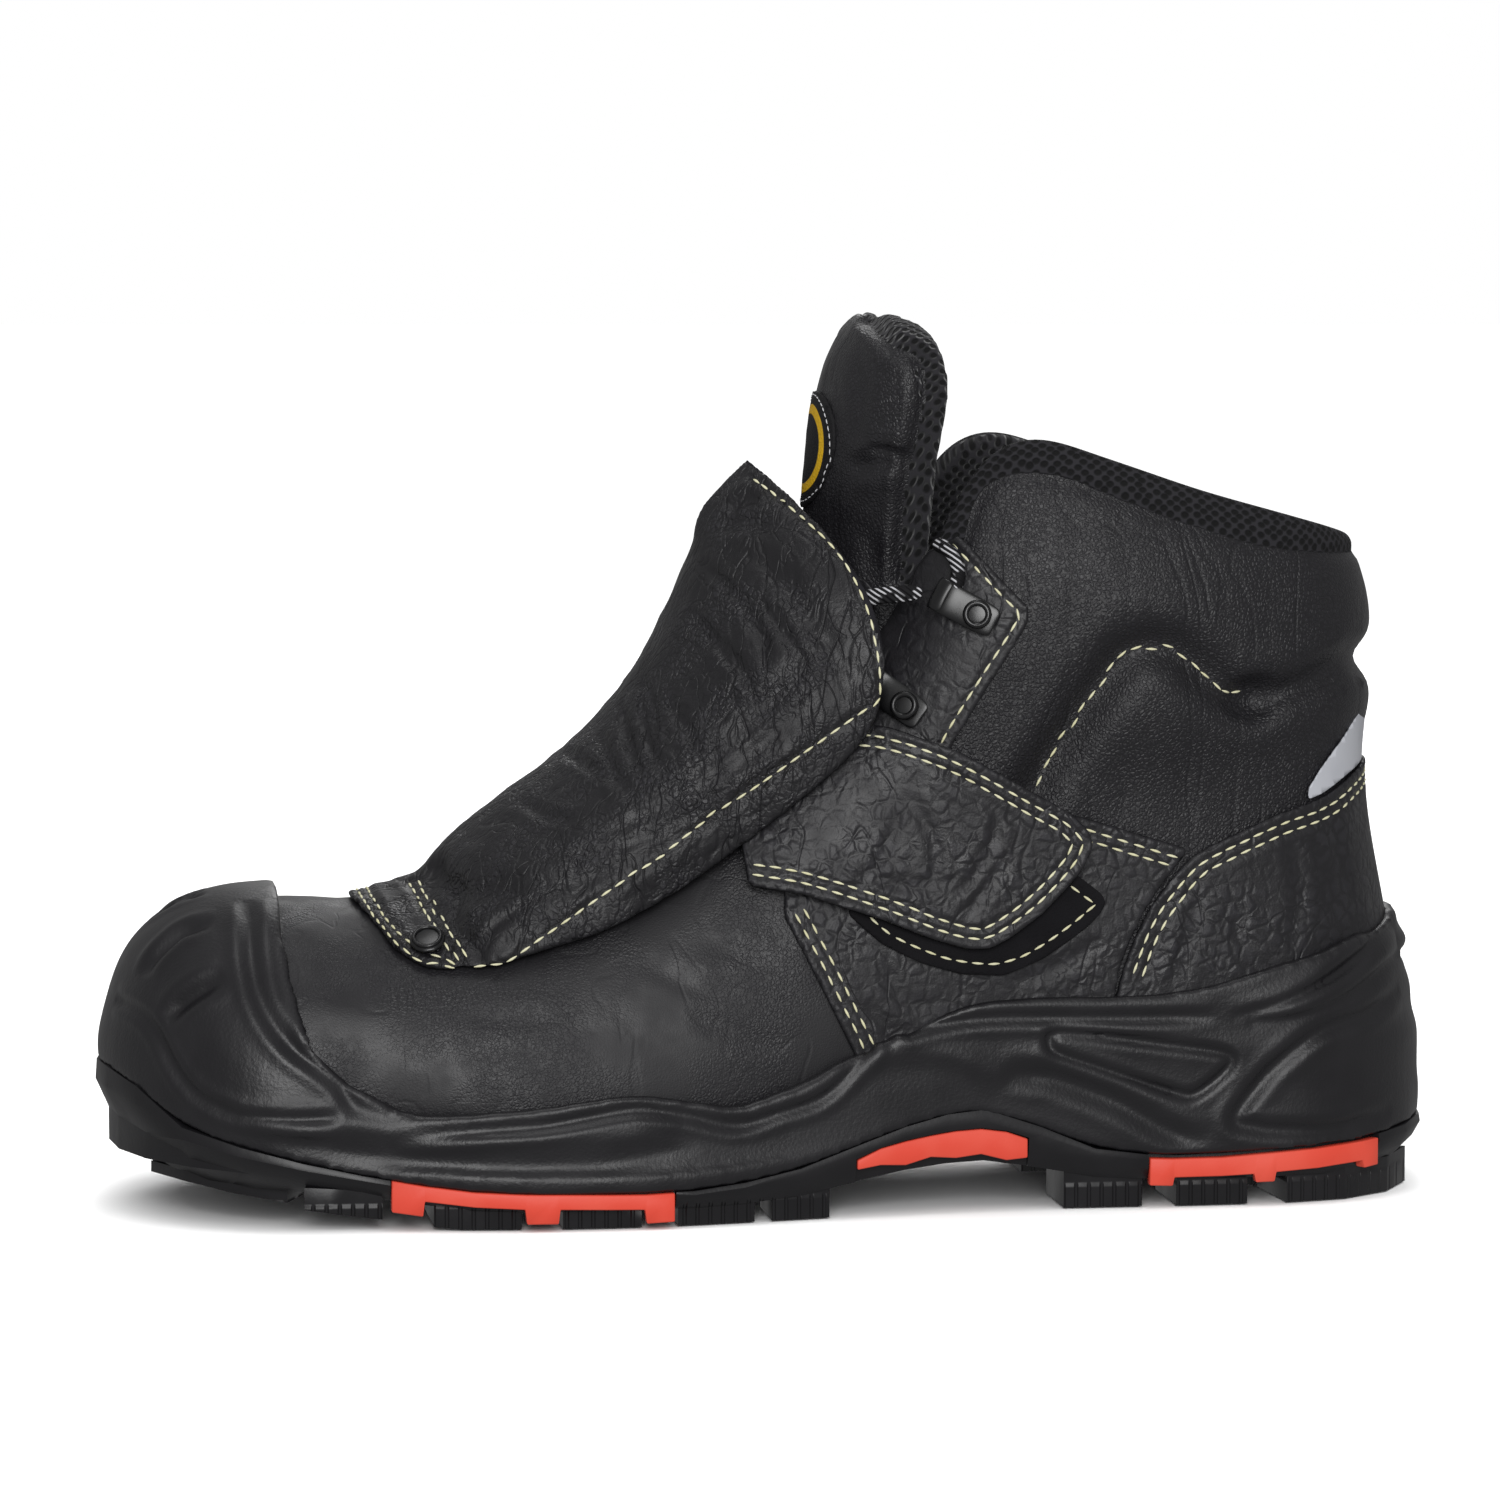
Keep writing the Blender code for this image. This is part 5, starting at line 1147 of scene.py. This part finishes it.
def treadMaterial():
    # The same rubber, with fine moulded grooves on the lugs, 3 mm apart.
    made = rubber.copy()
    made.name = "nitrile_rubber_tread"
    tree = made.node_tree
    shader = tree.nodes["Principled BSDF"]
    coords = addNode(tree, "TexCoord").outputs["Object"]
    height = addNode(tree, "SeparateXYZ", [coords]).outputs[2]
    low = addNode(tree, "MapRange", [height, 0.0045, 0.006, 1.0, 0.0], **softStep)
    wave = addNode(tree, "TexWave", {"Vector": coords, "Scale": 0.314 / (3.0 * mm)}).outputs[1]
    lines = addNode(tree, "MapRange", [wave, 0.0, 0.3], **softStep)
    lines = addNode(tree, "Math", [lines, low], operation="MULTIPLY")
    grain = shader.inputs["Normal"].links[0].from_socket
    plug(shader, {"Normal": addNode(tree, "Bump", {"Height": lines, "Distance": 0.5 * mm, "Normal": grain})})
    return made


outsole = copyNode("outsole", "outsole_rubber")
bevel(outsole, 0.5)
smoothShade(outsole, 40.0)
finishPiece(outsole, treadMaterial(), "rubber", "outsole")
for node in [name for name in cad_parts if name.startswith("insert_")]:
    piece = copyNode(node, node + "_rubber")
    bevel(piece, 0.35)
    smoothShade(piece, 40.0)
    finishPiece(piece, coral, "red_rubber", node)
sockLiner = copyNode("insole", "insole_felt")
bevel(sockLiner, 0.6)
smoothShade(sockLiner, 40.0)
finishPiece(sockLiner, felt, None, "insole")

discard(skin)

# Studio: pale floor and soft lights.
studio = {
    "floor": "#f8f8f8",
    "world": 0.3,
    "ceiling": 2.9,
    "lights": [  # name, place, aim, size, watts
        ("front_softbox", (-0.3, -1.9, 0.7), (-0.1, 0.0, 0.08), 0.9, 22.0),
        ("top_softbox", (-0.25, -0.1, 1.5), (-0.1, 0.0, 0.08), 0.5, 3.0),
        ("far_softbox", (0.3, 1.7, 1.2), (-0.1, 0.0, 0.08), 0.9, 7.0),
    ],
}


def buildStudio():
    bpy.context.scene.view_settings.view_transform = "Standard"
    selectOnly()
    bpy.ops.mesh.primitive_plane_add(size=80.0, location=(0.0, 20.0, -0.0004))
    floor = bpy.context.object
    floor.name = "studio_floor"
    floor.data.materials.append(newMaterial("matt_paper_sweep", studio["floor"], 0.9, 0.2)[0])
    # Only the camera sees the paper, and only the paper is lit by the ceiling: black leather stays black.
    floor.visible_glossy = floor.visible_diffuse = False
    for name, place, aim, size, power in studio["lights"]:
        data = bpy.data.lights.new(name, "AREA")
        data.shape, data.size, data.energy = "SQUARE", size, power
        lamp = bpy.data.objects.new(name, data)
        bpy.context.scene.collection.objects.link(lamp)
        lamp.location = place
        lamp.rotation_euler = (Vector(aim) - Vector(place)).to_track_quat("-Z", "Y").to_euler()
    # A wide, soft ceiling of light keeps the whole floor white.
    sky = bpy.data.lights.new("ceiling", "SUN")
    sky.energy, sky.angle = studio["ceiling"], math.radians(110)
    lamp = bpy.data.objects.new("ceiling", sky)
    bpy.context.scene.collection.objects.link(lamp)
    lamp.rotation_euler = (math.radians(8), math.radians(6), 0.0)
    paper = bpy.data.collections.new("paper")
    paper.objects.link(floor)
    lamp.light_linking.receiver_collection = paper
    world = bpy.data.worlds.new("studio_world")
    bpy.context.scene.world = world
    world.use_nodes = True
    back = world.node_tree.nodes["Background"]
    seen = addNode(world.node_tree, "LightPath")  # its first output tells the camera's own rays
    shown = addNode(world.node_tree, "MapRange", [seen, 0.0, 1.0, studio["world"], 1.0])
    plug(back, {"Color": linear("#ffffff"), "Strength": shown})


buildStudio()
print("studio ready")
